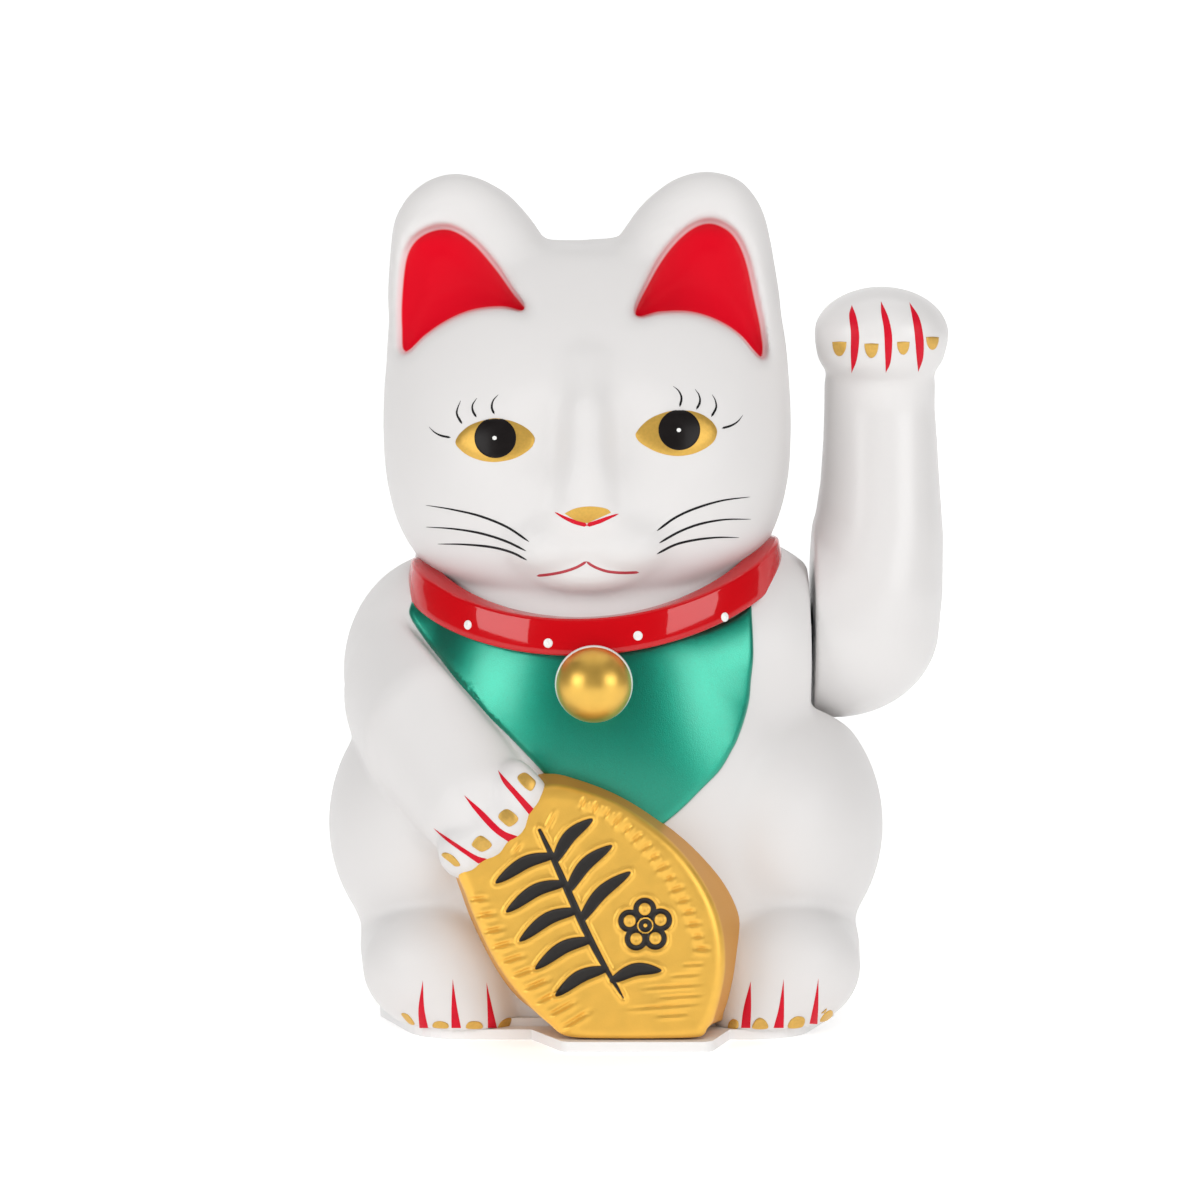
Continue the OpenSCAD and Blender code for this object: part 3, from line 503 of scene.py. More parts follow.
def mesh_object(name, verts, faces, material, smooth=True, angle=None):
    """A mesh from vertices in mm and faces of one size, or a list of arrays of several sizes."""
    groups = faces if isinstance(faces, list) else [faces]
    groups = [np.asarray(g, np.int32) for g in groups if len(g)]
    me = bpy.data.meshes.new(name)
    me.vertices.add(len(verts))
    me.vertices.foreach_set("co", (np.asarray(verts, float) * MM).astype(np.float32).ravel())
    loops = np.concatenate([g.ravel() for g in groups])
    totals = np.concatenate([np.full(len(g), g.shape[1], np.int32) for g in groups])
    me.loops.add(len(loops))
    me.loops.foreach_set("vertex_index", loops)
    me.polygons.add(len(totals))
    me.polygons.foreach_set("loop_start", np.concatenate([[0],
                                                          np.cumsum(totals)[:-1]]).astype(np.int32))
    me.update(calc_edges=True)
    me.validate()
    o = link(bpy.data.objects.new(name, me))
    o.data.materials.append(material)
    if smooth:
        me.shade_smooth()
        if angle:
            me.set_sharp_from_angle(angle=math.radians(angle))
    return o


def box_mesh(lo, hi):
    """A cutter: a plain box in mm."""
    v = [(x, y, z) for x in (lo[0], hi[0]) for y in (lo[1], hi[1]) for z in (lo[2], hi[2])]
    q = [(0, 1, 3, 2), (4, 6, 7, 5), (0, 4, 5, 1), (2, 3, 7, 6), (0, 2, 6, 4), (1, 5, 7, 3)]
    return mesh_object("cutter", v, np.array(q), white, smooth=False)


def slab_mesh(y0, y1, z0):
    """A cutter in mm with a grid on its faces: what it leaves of them is cut into simple pieces."""
    xs, zs = np.linspace(-80, 80, 33), np.linspace(z0, 210, 43)
    gx, gz = np.meshgrid(xs, zs, indexing="ij")
    v = np.vstack([np.column_stack([gx.ravel(), np.full(gx.size, y), gz.ravel()]) for y in (y0,
                                                                                            y1)])
    k = np.arange(gx.size).reshape(gx.shape)
    face = np.stack([k[:-1, :-1], k[1:, :-1], k[1:, 1:], k[:-1, 1:]], -1).reshape(-1, 4)
    edge = np.concatenate([k[:, 0], k[-1, 1:], k[-2::-1, -1], k[0, -2:0:-1]])
    far = np.roll(edge, -1)
    side = np.stack([far, edge, edge + k.size, far + k.size], 1)
    return mesh_object("cutter", v, np.vstack([face, face[:, ::-1] + k.size, side]), white,
                       smooth=False)


def rod_mesh(x0, x1, y, z, r, n=64):
    """A cutter: a cylinder along X in mm."""
    a = np.linspace(0, 2 * np.pi, n, endpoint=False)
    ring = np.stack([y + r * np.cos(a), z + r * np.sin(a)], 1)
    v = np.vstack([np.column_stack([np.full(n, x0), ring]), np.column_stack([np.full(n, x1), ring]),
                   [[x0, y, z], [x1, y, z]]])
    i = np.arange(n)
    j = (i + 1) % n
    quads = np.stack([i, j, j + n, i + n], 1)[:, ::-1]
    caps = np.vstack([np.stack([j, i, np.full(n, 2 * n)], 1),
                      np.stack([i + n, j + n, np.full(n, 2 * n + 1)], 1)])
    return mesh_object("cutter", v, [quads, caps[:, ::-1]], white, smooth=False)


def combine(o, cutter, operation):
    """Applies a boolean of two closed meshes to o."""
    b = o.modifiers.new("cut", "BOOLEAN")
    b.object = cutter
    b.operation = operation
    b.solver = "MANIFOLD"
    dg = bpy.context.evaluated_depsgraph_get()
    me = bpy.data.meshes.new_from_object(o.evaluated_get(dg))
    o.modifiers.clear()
    old = o.data
    o.data = me
    bpy.data.meshes.remove(old)
    bpy.data.objects.remove(cutter)


def halves(whole, front_name, back_name, cutter, gap):
    """Cuts a closed mesh at the seam plane; cutter(y0, y1) makes the block that is kept."""
    front = whole.copy()
    front.data = whole.data.copy()
    front.name = front_name
    link(front)
    combine(front, cutter(-200, SEAM_Y - gap), "INTERSECT")
    whole.name = back_name
    combine(whole, cutter(SEAM_Y + gap, 200), "INTERSECT")
    return front, whole


def place_piece(o, body, node=None):
    """Hides the CAD node that the piece stands for, if one is given, and attaches the piece to its
    body.
    """
    if node:
        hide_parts(node)
    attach(o, body)
    return o


def finish_piece(o, material, angle=42):
    o.data.materials.clear()
    o.data.materials.append(material)
    for p in o.data.polygons:
        p.material_index = 0
    o.data.shade_smooth()
    o.data.set_sharp_from_angle(angle=math.radians(angle))
    return o


def coords(o):
    co = np.zeros(len(o.data.vertices) * 3, np.float32)
    o.data.vertices.foreach_get("co", co)
    return co.reshape(-1, 3).astype(float) / MM


def set_attribute(o, name, values):
    attr = o.data.attributes.new(name, "FLOAT", "POINT")
    attr.data.foreach_set("value", values.astype(np.float32))


def tree_of(verts, faces):
    return BVHTree.FromPolygons([Vector(v) for v in verts],
                                [tuple(int(i) for i in f) for f in faces])


H = 0.8   # sample spacing of the body's field
body_f = body_field(H)
bv, bq = body_f.mesh()
whole = mesh_object("cat_whole", bv, bq, white)
hollow = mesh_object("cat_hollow", *body_f.mesh(-2.0, 3), white)
combine(whole, hollow, "DIFFERENCE")
combine(whole, rod_mesh(36, 60, AXLE[1], AXLE[2], 3.2), "DIFFERENCE")
SEAM_GAP = 0.09   # half the gap of the seam
cat_front, cat_back = halves(whole, "cat_front", "cat_back",
                             lambda y0, y1: slab_mesh(y0, y1, RIM_Z + 0.12), SEAM_GAP)
finish_piece(cat_front, white_ears)
finish_piece(cat_back, white)
v = coords(cat_front)
ear_mm = np.full(len(v), 20.0)
near = (v[:, 2] > 148) & (v[:, 1] < 2.0)
for loop in (RED_L, RED_R):
    ear_mm[near] = np.minimum(ear_mm[near], poly_distance(v[near, 0], v[near, 2],
                                                          smooth_loop(loop, 0.8)))
ear_mm += 0.35 * np.clip(-11 - v[:, 1], 0, 8)   # no paint on the ledge in front of the ear
set_attribute(cat_front, "ear_mm", ear_mm)
place_piece(cat_front, "body", "front_shell")
place_piece(cat_back, "body", "back_shell")

arm_f = arm_field(0.7)
av, aq = arm_f.mesh()
arm_whole = mesh_object("arm_whole", av, aq, arm_white)
combine(arm_whole, mesh_object("arm_hollow", *arm_f.mesh(-1.5, 2), white), "DIFFERENCE")
combine(arm_whole, rod_mesh(ARM_X - 3, ARM_X + 6, AXLE[1], AXLE[2], 7.1), "DIFFERENCE")
arm_parts = halves(arm_whole, "arm_front", "arm_back",
                   lambda y0, y1: box_mesh([0, y0, 0], [200, y1, 300]), SEAM_GAP)
for o, n in zip(arm_parts, ("arm_front_shell", "arm_back_shell")):
    place_piece(finish_piece(o, arm_white), "arm", n)

# ---------------------------------------------------------------- paint and trim laid on the form
body_tree = tree_of(bv, bq)
arm_tree = tree_of(av, aq)
DRAW_Y = -45.0   # the artwork is drawn on this upright plane, in mm, as seen from the front


def onto(points, tree):
    """Carries artwork points (x, z) along the line of sight onto the form: places and normals."""
    places, normals = [], []
    for x, z in points:
        d = Vector((x, DRAW_Y, z)) - Vector(EYE)
        d.normalize()
        hit, nor, _, _ = tree.ray_cast(Vector(EYE), d)
        if hit is None:
            hit, nor, _, _ = body_tree.ray_cast(Vector(EYE), d)
            hit = hit and hit + nor * 0.3
        if hit is None:
            hit, nor, _, _ = tree.find_nearest(Vector((x, DRAW_Y, z)))
        if nor.dot(d) > 0:
            nor = -nor
        places.append(hit)
        normals.append(nor)
    return np.array(places), np.array(normals)


def closed_sheet(name, top, bottom, tris, edge, material, angle=60):
    """A closed thin solid between two sheets with the same triangles and one loop of edges."""
    n = len(top)
    tris = np.asarray(tris)
    edge = np.asarray(edge)
    side = np.stack([edge[:, 1], edge[:, 0], edge[:, 0] + n, edge[:, 1] + n], 1)
    return mesh_object(name, np.vstack([top, bottom]), [tris, tris[:, ::-1] + n, side], material,
                       angle=angle)


def patch(name, loop, tree, material, height=0.06, round_mm=0.3, grid=1.0, depth=0.35,
          body="body", base=0.05):
    """A painted or raised area with a closed outline, laid on the form."""
    loop = np.asarray(loop, float)
    lo, hi = loop.min(0), loop.max(0)
    gx, gz = np.meshgrid(np.arange(lo[0], hi[0], grid), np.arange(lo[1], hi[1], grid))
    gx = gx + (np.arange(gx.shape[0]) % 2)[:, None] * grid * 0.5
    pts = np.stack([gx.ravel(), gz.ravel()], 1)
    sd = poly_distance(pts[:, 0], pts[:, 1], loop)
    extra = [pts[sd < -grid * 0.55]]
    if round_mm > grid * 0.5:
        nxt = np.roll(loop, -1, 0) - np.roll(loop, 1, 0)
        nor = np.stack([-nxt[:, 1], nxt[:, 0]], 1)
        nor /= np.maximum(np.linalg.norm(nor, axis=1)[:, None], 1e-9)
        if poly_distance(*(loop[:1] + nor[:1] * 0.05).T, loop)[0] > 0:
            nor = -nor
        extra = [pts[sd < -round_mm * 1.15 - grid * 0.3]]
        for q in (0.12, 0.35, 0.65, 1.0):
            ring = loop + nor * round_mm * q
            rd = poly_distance(ring[:, 0], ring[:, 1], loop)
            extra.append(ring[rd < -round_mm * q * 0.93])
    allp = np.vstack([loop] + extra)
    cv, ce, cf, _, _, _ = delaunay_2d_cdt([Vector(p) for p in allp], [], [list(range(len(loop)))],
                                          1, 1e-5)
    cv = np.array([list(p) for p in cv])
    tris = []
    for f in cf:
        for k in range(1, len(f) - 1):
            tris.append((f[0], f[k], f[k + 1]))
    tris = np.array(tris)
    a, b, c = cv[tris[:, 0]], cv[tris[:, 1]], cv[tris[:, 2]]
    area = (b[:, 0] - a[:, 0]) * (c[:, 1] - a[:, 1]) - (b[:, 1] - a[:, 1]) * (c[:, 0] - a[:, 0])
    tris[area < 0] = tris[area < 0][:, ::-1]
    place, normal = onto(cv, tree)
    depth_in = np.clip(-poly_distance(cv[:, 0], cv[:, 1], loop) / max(round_mm, 1e-6), 0, 1)
    lift = height * np.sqrt(1 - (1 - depth_in) ** 2)
    top = place + normal * (lift + base)[:, None]
    bottom = place - normal * depth
    pairs = {}
    for t in tris:
        for i, j in ((t[0], t[1]), (t[1], t[2]), (t[2], t[0])):
            pairs[(i, j)] = pairs.get((i, j), 0) + 1
    edge = [(i, j) for (i, j) in pairs if (j, i) not in pairs]
    return place_piece(closed_sheet(name, top, bottom, tris, edge, material), body)


def stroke(name, path, width, tree, material, taper=(0.15, 0.15), height=0.05, depth=0.3,
           body="body", step=0.5, power=0.8, across=4):
    """A brush stroke of changing width along a smooth path, laid on the form."""
    p = smooth_loop(path, step, closed=False)
    n = len(p)
    t = np.linspace(0, 1, n)
    w = np.minimum(np.clip(t / max(taper[0], 1e-6), 0, 1),
                   np.clip((1 - t) / max(taper[1], 1e-6), 0, 1))
    w = width * 0.5 * np.maximum(w ** power, 0.08)
    d = np.gradient(p, axis=0)
    d /= np.maximum(np.linalg.norm(d, axis=1)[:, None], 1e-9)
    nor = np.stack([-d[:, 1], d[:, 0]], 1)
    rows = np.linspace(-1, 1, across + 1)
    pts = (p[:, None, :] + nor[:, None, :] * (w[:, None] * rows[None, :])[:, :, None]).reshape(-1,
                                                                                               2)
    place, normal = onto(pts, tree)
    lift = (height * np.sqrt(np.maximum(1 - rows ** 2, 0)))[None, :].repeat(n, 0).ravel()
    top = place + normal * (lift + 0.04)[:, None]
    bottom = place - normal * depth
    m = across + 1
    i = np.arange(n - 1)[:, None] * m + np.arange(across)[None, :]
    i = i.ravel()
    quads = np.stack([i, i + 1, i + m + 1, i + m], 1)
    k = n * m
    border = ([(a * m, (a + 1) * m) for a in range(n - 1)]
              + [((n - 1) * m + a, (n - 1) * m + a + 1) for a in range(across)]
              + [((a + 1) * m + across, a * m + across) for a in range(n - 2, -1, -1)]
              + [(a + 1, a) for a in range(across - 1, -1, -1)])
    side = np.array([(a, b, b + k, a + k) for a, b in border])
    a0, b0, c0 = top[quads[:, 0]], top[quads[:, 1]], top[quads[:, 2]]
    facing = (np.cross(b0 - a0, c0 - a0) * normal[quads[:, 0]]).sum(1)
    if np.sum(facing) < 0:
        quads = quads[:, ::-1]
    else:
        side = side[:, ::-1]
    o = mesh_object(name, np.vstack([top, bottom]), [quads, quads[:, ::-1] + k, side], material,
                    angle=60)
    return place_piece(o, body)


def oval(cx, cz, rx, rz, n=64, tilt=0.0):
    a = np.linspace(0, 2 * np.pi, n, endpoint=False)
    x, z = rx * np.cos(a), rz * np.sin(a)
    c, s = math.cos(tilt), math.sin(tilt)
    return np.stack([cx + x * c - z * s, cz + x * s + z * c], 1)


def outline(*sides, step=0.35):
    """A closed outline from open sides that share their end points; each side is smooth."""
    runs = [smooth_loop(s, step, closed=False)[:-1] for s in sides]
    return np.vstack(runs)


# ear paint is in the shell's material; the face is laid on as thin painted pieces
EYE_L = [(-34.7, 137.5), (-34.0, 139.3), (-32.4, 140.9), (-30.5, 142.0), (-27.9, 142.8),
         (-25.3, 143.0), (-22.8, 142.8), (-20.4, 142.0), (-18.3, 140.8), (-16.9, 139.3),
         (-16.6, 138.2), (-17.3, 136.6), (-19.1, 135.1), (-21.6, 133.9), (-24.4, 133.3),
         (-26.7, 133.2), (-29.1, 133.6), (-31.5, 134.5), (-33.4, 135.8)]
EYE_R = [(6.4, 139.3), (6.9, 140.4), (8.2, 141.9), (9.9, 143.2), (12.1, 144.2), (14.7, 144.9),
         (17.0, 145.0), (19.4, 144.8), (21.7, 144.0), (23.7, 142.6), (24.8, 141.1), (25.0, 139.7),
         (24.3, 137.9), (22.5, 136.4), (20.0, 135.2), (17.0, 134.6), (14.3, 134.7), (11.5, 135.4),
         (9.0, 136.6), (7.2, 137.9)]
for side, shape, c in (("left", EYE_L, (-25.6, 138.7)), ("right", EYE_R, (16.4, 140.5))):
    eye = patch("eye_gold_" + side, smooth_loop(shape, 0.4), body_tree, gold_paint, 0.65, 4.6, 0.8)
    eye_tree = tree_of(coords(eye), [list(p.vertices) for p in eye.data.polygons])
    patch("eye_ring_" + side, oval(*c, 5.05, 4.95, 72), eye_tree, gold_paint, 0.05, 0.2, 0.8)
    patch("eye_iris_" + side, oval(*c, 4.75, 4.6, 72), eye_tree, iris_black, 0.10, 0.5, 0.8,
          base=0.12)
    patch("eye_spark_" + side, oval(c[0] - 0.15, c[1] - 0.05, 0.50, 0.46, 20), eye_tree, stud_white,
          0.04, 0.1, 0.4, base=0.24)

LASHES = [
    [(-33.5, 147.2), (-34.3, 145.2), (-34.3, 143.9), (-33.2, 141.9)],
    [(-29.8, 147.8), (-30.8, 146.2), (-30.7, 144.8), (-29.9, 143.4)],
    [(-24.9, 148.6), (-26.1, 147.2), (-26.4, 145.6), (-25.8, 144.1)],
    [(-40.7, 141.2), (-39.5, 140.0), (-37.9, 139.2), (-35.8, 138.8)],
    [(15.0, 150.5), (16.2, 149.5), (16.9, 147.9), (16.5, 145.8)],
    [(20.0, 149.8), (20.9, 148.5), (21.1, 146.9), (20.3, 145.2)],
    [(23.9, 148.6), (24.6, 147.3), (24.8, 145.6), (23.7, 143.5)],
    [(30.9, 143.9), (29.8, 142.5), (28.2, 141.5), (26.1, 140.9)]]
for i, path in enumerate(LASHES):
    stroke(f"lash_{i + 1}", path, 0.5, body_tree, ink, taper=(0.7, 0.06), power=0.7)
WHISKERS = [
    [(-41.5, 123.3), (-35.4, 122.3), (-29.1, 120.8), (-23.0, 118.3), (-17.9, 114.9)],
    [(-41.5, 118.3), (-35.4, 117.9), (-29.2, 116.9), (-23.4, 115.1), (-18.6, 112.8)],
    [(-38.8, 114.4), (-32.8, 114.3), (-26.6, 113.7), (-22.0, 112.5), (-18.4, 110.7)],
    [(11.3, 117.4), (15.6, 120.5), (20.5, 122.7), (26.4, 124.4), (32.6, 125.2)],
    [(11.8, 114.6), (16.4, 117.2), (21.2, 119.0), (26.8, 120.0), (32.8, 120.1)],
    [(11.3, 112.1), (15.4, 114.2), (19.8, 115.3), (25.0, 115.9), (30.1, 115.9)]]
for i, path in enumerate(WHISKERS):
    ends = (0.5, 0.08) if i < 3 else (0.08, 0.5)
    stroke(f"whisker_{i + 1}", path, 0.52, body_tree, ink, taper=ends, power=0.5)

patch("nose_gold", outline([(-9.8, 121.4), (-7.6, 122.5), (-4.9, 123.0), (-2.1, 122.9),
                            (-0.0, 122.4),
                            (0.8, 121.6)], [(0.8, 121.6), (-2.1, 120.3), (-4.6, 119.2)],
                           [(-4.6, 119.2), (-7.3, 119.9), (-9.8, 121.4)]),
      body_tree, gold_paint, 0.07, 0.2, 0.7)
V_LEFT = [(-12.0, 121.7), (-10.1, 120.6), (-7.6, 119.5), (-4.7, 118.7)]
V_RIGHT = [(-4.7, 118.7), (-2.1, 119.5), (0.4, 120.5), (2.5, 121.3)]
stroke("nose_line_left", V_LEFT, 0.95, body_tree, red_paint, taper=(0.6, 0.02), power=0.5,
       height=0.11)
stroke("nose_line_right", V_RIGHT, 0.95, body_tree, red_paint, taper=(0.02, 0.6), power=0.5,
       height=0.12)
M_LEFT = [(-16.2, 107.1), (-13.4, 107.4), (-10.2, 108.0), (-7.4, 108.9), (-5.7, 109.8),
          (-4.8, 110.4)]
M_RIGHT = [(-4.8, 110.4), (-3.9, 109.7), (-2.4, 108.9), (0.1, 108.1), (3.5, 107.8), (7.2, 107.9)]
stroke("mouth_line_left", M_LEFT, 0.62, body_tree, lip_paint, taper=(0.05, 0.05), power=0.5)
stroke("mouth_line_right", M_RIGHT, 0.62, body_tree, lip_paint, taper=(0.05, 0.05), power=0.5,
       height=0.06)

def blade(down, up):
    """A pointed stroke's outline: from its tip down one side, then up the other."""
    base = [] if up[0] == down[-1] else [[down[-1], up[0]]]
    return outline(down, *base, up + [down[0]])


# strokes and claws of the holding paw, the feet and the raised paw
PAW_STROKES = [
    ([(-25.2, 62.3), (-21.4, 58.1), (-16.3, 52.6)], [(-17.5, 51.3), (-21.2, 56.0), (-23.9, 59.3)]),
    ([(-33.0, 56.5), (-28.8, 52.9), (-24.3, 48.5), (-20.6, 46.9)],
     [(-22.7, 45.6), (-26.4, 48.3), (-30.5, 52.9)]),
    ([(-40.0, 48.8), (-35.2, 45.6), (-30.5, 42.6), (-27.8, 41.7)],
     [(-29.7, 40.6), (-34.2, 43.8), (-37.5, 46.3)])]
FOOT_STROKES = [
    ([(-42.6, 13.4), (-43.6, 7.0), (-43.4, 2.3)], [(-41.4, 2.3), (-42.3, 7.0)]),
    ([(-35.7, 13.7), (-36.0, 7.0), (-36.0, 2.3)], [(-33.8, 2.3), (-34.7, 7.0)]),
    ([(-27.9, 12.9), (-27.7, 7.0), (-27.6, 2.3)], [(-25.5, 2.3), (-26.6, 7.0)]),
    ([(33.1, 13.2), (31.5, 7.0), (30.9, 2.3)], [(33.0, 2.3), (33.2, 7.0)]),
    ([(40.7, 13.7), (39.6, 7.0), (38.4, 2.3)], [(40.7, 2.3), (40.8, 7.0)]),
    ([(48.7, 13.8), (47.7, 8.1), (46.7, 3.3)], [(48.5, 3.2), (48.7, 8.1)])]
ARM_STROKES = [
    ([(55.7, 169.0), (56.8, 166.0), (57.4, 161.7), (56.9, 156.7), (55.7, 153.5)],
     [(55.7, 153.5), (55.5, 158.4), (55.5, 162.8), (55.1, 166.7)]),
    ([(62.3, 169.9), (64.0, 166.2), (64.9, 161.7), (64.6, 156.2), (63.5, 153.6)],
     [(63.5, 153.6), (63.3, 158.4), (63.0, 163.6), (62.4, 167.1)]),
    ([(68.8, 169.6), (71.0, 166.2), (72.0, 161.7), (72.0, 157.1), (70.9, 153.8)],
     [(70.9, 153.8), (70.5, 157.3), (70.0, 162.8), (69.4, 166.5)])]
for name, rows, tree, rider in (("paw", PAW_STROKES, body_tree, "body"),
                                ("foot", FOOT_STROKES, body_tree, "body"),
                                ("raised_paw", ARM_STROKES, arm_tree, "arm")):
    for i, sides in enumerate(rows):
        patch(f"{name}_stroke_{i + 1}", blade(*sides), tree, red_paint, 0.06, 0.2, 0.45, body=rider)
PAW_CLAWS = [
    [(-20.7, 60.5), (-19.1, 61.7), (-17.3, 60.5), (-16.5, 59.3), (-17.5, 57.5), (-19.1, 58.3)],
    [(-25.1, 51.5), (-24.1, 52.9), (-22.6, 53.1), (-20.5, 51.0), (-22.4, 49.2), (-24.1, 50.2)],
    [(-31.2, 45.2), (-29.2, 47.1), (-26.6, 45.0), (-28.7, 43.4), (-30.5, 44.2)],
    [(-38.1, 42.5), (-37.3, 43.2), (-35.4, 42.3), (-33.9, 40.3), (-35.0, 40.0), (-36.2, 40.9)]]
FOOT_CLAWS = [
    [(-47.6, 5.6), (-46.0, 5.4), (-44.5, 3.2), (-45.8, 3.4)],
    [(-40.3, 2.5), (-40.0, 3.6), (-38.5, 3.9), (-36.9, 3.3), (-36.8, 2.3), (-38.5, 2.2)],
    [(-32.5, 2.2), (-32.2, 3.5), (-30.8, 3.9), (-29.2, 3.5), (-29.0, 2.2)],
    [(-25.2, 2.2), (-24.8, 3.5), (-23.2, 4.6), (-22.0, 4.4), (-22.1, 2.7), (-23.9, 2.2)],
    [(28.0, 2.2), (28.1, 3.6), (29.1, 4.4), (30.2, 3.8), (30.1, 2.2)],
    [(33.6, 2.2), (34.0, 3.8), (35.2, 4.7), (36.6, 3.9), (37.0, 2.2)],
    [(41.8, 2.3), (42.2, 4.0), (43.7, 5.0), (45.4, 4.7), (45.5, 3.4), (44.6, 2.4)],
    [(49.1, 3.8), (49.9, 5.4), (51.2, 6.4), (52.0, 6.2), (51.9, 5.0), (50.8, 4.1)]]
for name, rows in (("paw", PAW_CLAWS), ("foot", FOOT_CLAWS)):
    for i, shape in enumerate(rows):
        patch(f"{name}_claw_{i + 1}", smooth_loop(shape, 0.25), body_tree, claw_gold, 0.16, 0.4,
              0.35,
              base=0.08)
for i, (x, z) in enumerate([(52.9, 160.6), (60.2, 160.2), (67.45, 160.6), (74.1, 161.7)]):
    r = 1.62 if i < 2 else 1.45
    round_side = [(x + r * math.cos(a), z + 2.0 * r * math.sin(a)) for a in np.linspace(0, -math.pi,
                                                                                        9)]
    patch(f"raised_paw_claw_{i + 1}", outline(round_side,
                                              [round_side[-1], (x, z + 0.1), round_side[0]],
                                              step=0.25),
          arm_tree, claw_gold, 0.16, 0.4, 0.5, body="arm")

# ---------------------------------------------------------------- collar, studs, bib and bell
COLLAR_C = np.array([-2.9, -7.0, 106.6])   # middle of the ring
COLLAR_R = 40.0, 35.8                      # its half width and half depth
COLLAR_ROLL = 0.06                         # how much higher its right side sits
COLLAR_PROUD = 4.3                         # from the ring's line to the band's outer face
ring_n = 200


def back_swell():
    """How far each part of the band moves out, in mm, so that its back half lies on the neck."""
    swell = np.zeros(ring_n)
    for k in range(1, ring_n // 2):
        a = 2 * math.pi * k / ring_n
        d = Vector(((COLLAR_R[0] + COLLAR_PROUD) * math.cos(a),
                    (COLLAR_R[1] + COLLAR_PROUD) * math.sin(a), 0))
        r = d.length
        d.normalize()
        start = Vector(COLLAR_C + [0, 0, COLLAR_ROLL * r * d.x + 1.0]) + d * 90
        hit = body_tree.ray_cast(start, -d)[0]
        if hit is not None:
            reach = Vector((hit.x - COLLAR_C[0], hit.y - COLLAR_C[1])).length
            ease = min(max((math.sin(a) - 0.45) / 0.4, 0), 1)
            swell[k] = min(max(reach + 1.3 - r, 0), 9) * ease * ease * (3 - 2 * ease)
    w = np.hanning(17)
    return np.convolve(np.pad(swell, 8, mode="wrap"), w / w.sum(), mode="valid")


def collar_point(a, u, w, swell):
    """A place on the band: u out from its line, w up from its middle."""
    dip = -13.4 * max(0.0, -math.sin(a)) ** 1.5
    out = (COLLAR_R[0] + u + swell) * math.cos(a)
    return COLLAR_C + [out, (COLLAR_R[1] + u + swell) * math.sin(a), dip + w + COLLAR_ROLL * out]


corner = [(math.cos(t), math.sin(t)) for t in np.linspace(math.pi / 2, 0, 6)]
section = [(-1.6, -4.2), (-1.6, 4.2)] + [(3.65 - 1.0 + 1.0 * c, 4.2 - 1.0 + 1.0 * s) for c,
                                         s in corner]
section += [(3.95, 1.9), (4.2, 0.6), (4.34, -0.8), (4.46, -2.2)]
section += [(4.56 - 0.6 + 0.6 * c, -4.2 + 0.6 - 0.6 * s) for c, s in corner[::-1]]
swell = back_swell()
cv = np.array([collar_point(2 * math.pi * i / ring_n, u, w, swell[i])
               for i in range(ring_n) for u, w in section])
m = len(section)
i = np.arange(ring_n)[:, None] * m + np.arange(m)[None, :]
j = np.roll(i, -1, 0)
cq = np.stack([i, j, np.roll(j, -1, 1), np.roll(i, -1, 1)], -1).reshape(-1, 4)
collar_tree = tree_of(cv, cq)
collar_whole = mesh_object("collar_whole", cv, cq, lacquer)
bands = halves(collar_whole, "band_front", "band_back",
               lambda y0, y1: box_mesh([-200, y0, 0], [200, y1, 300]), 0.05)
for o, n in zip(bands, ("collar_front", "collar_back")):
    place_piece(finish_piece(o, lacquer, 35), "body", n)


def lathe(name, profile, at, axis, material, n=48, angle=40, body="body",
          replaces=None):
    """A turned piece; its profile of (along the axis, radius) pairs starts and ends on the axis."""
    rot = Vector((0, 0, 1)).rotation_difference(Vector(axis)).to_matrix()
    rings = profile[1:-1]
    v = [rot @ Vector((0, 0, profile[0][0]))]
    for h, r in rings:
        v += [rot @ Vector((r * math.cos(t), r * math.sin(t),
                            h)) for t in np.arange(n) * 2 * math.pi / n]
    v.append(rot @ Vector((0, 0, profile[-1][0])))
    v = np.array([list(p) for p in v]) + np.array(at)
    k = np.arange(n)
    quads = []
    for a in range(len(rings) - 1):
        b0, b1 = 1 + a * n, 1 + (a + 1) * n
        quads.append(np.stack([b0 + k, b0 + (k + 1) % n, b1 + (k + 1) % n, b1 + k], 1))
    last = 1 + (len(rings) - 1) * n
    caps = np.vstack([np.stack([np.zeros(n, int), 1 + (k + 1) % n, 1 + k], 1),
                      np.stack([np.full(n, len(v) - 1), last + k, last + (k + 1) % n], 1)])
    o = mesh_object(name, v, [np.vstack(quads), caps], material, angle=angle)
    return place_piece(o, body, replaces)


for i, (x, z) in enumerate([(-32.0, 95.8), (-13.6, 91.6), (7.0, 93.3), (26.9, 97.6)]):
    place, normal = onto([(x, z)], collar_tree)
    dome = [(-0.5, 0), (-0.5, 1.1), (0.04, 1.1), (0.16, 1.02), (0.26, 0.82), (0.2, 0.5),
            (0.24, 0.36), (0.38, 0.22),
            (0.42, 0)]
    lathe(f"collar_stud_{i + 1}", dome, place[0], normal[0], stud_white, 28)

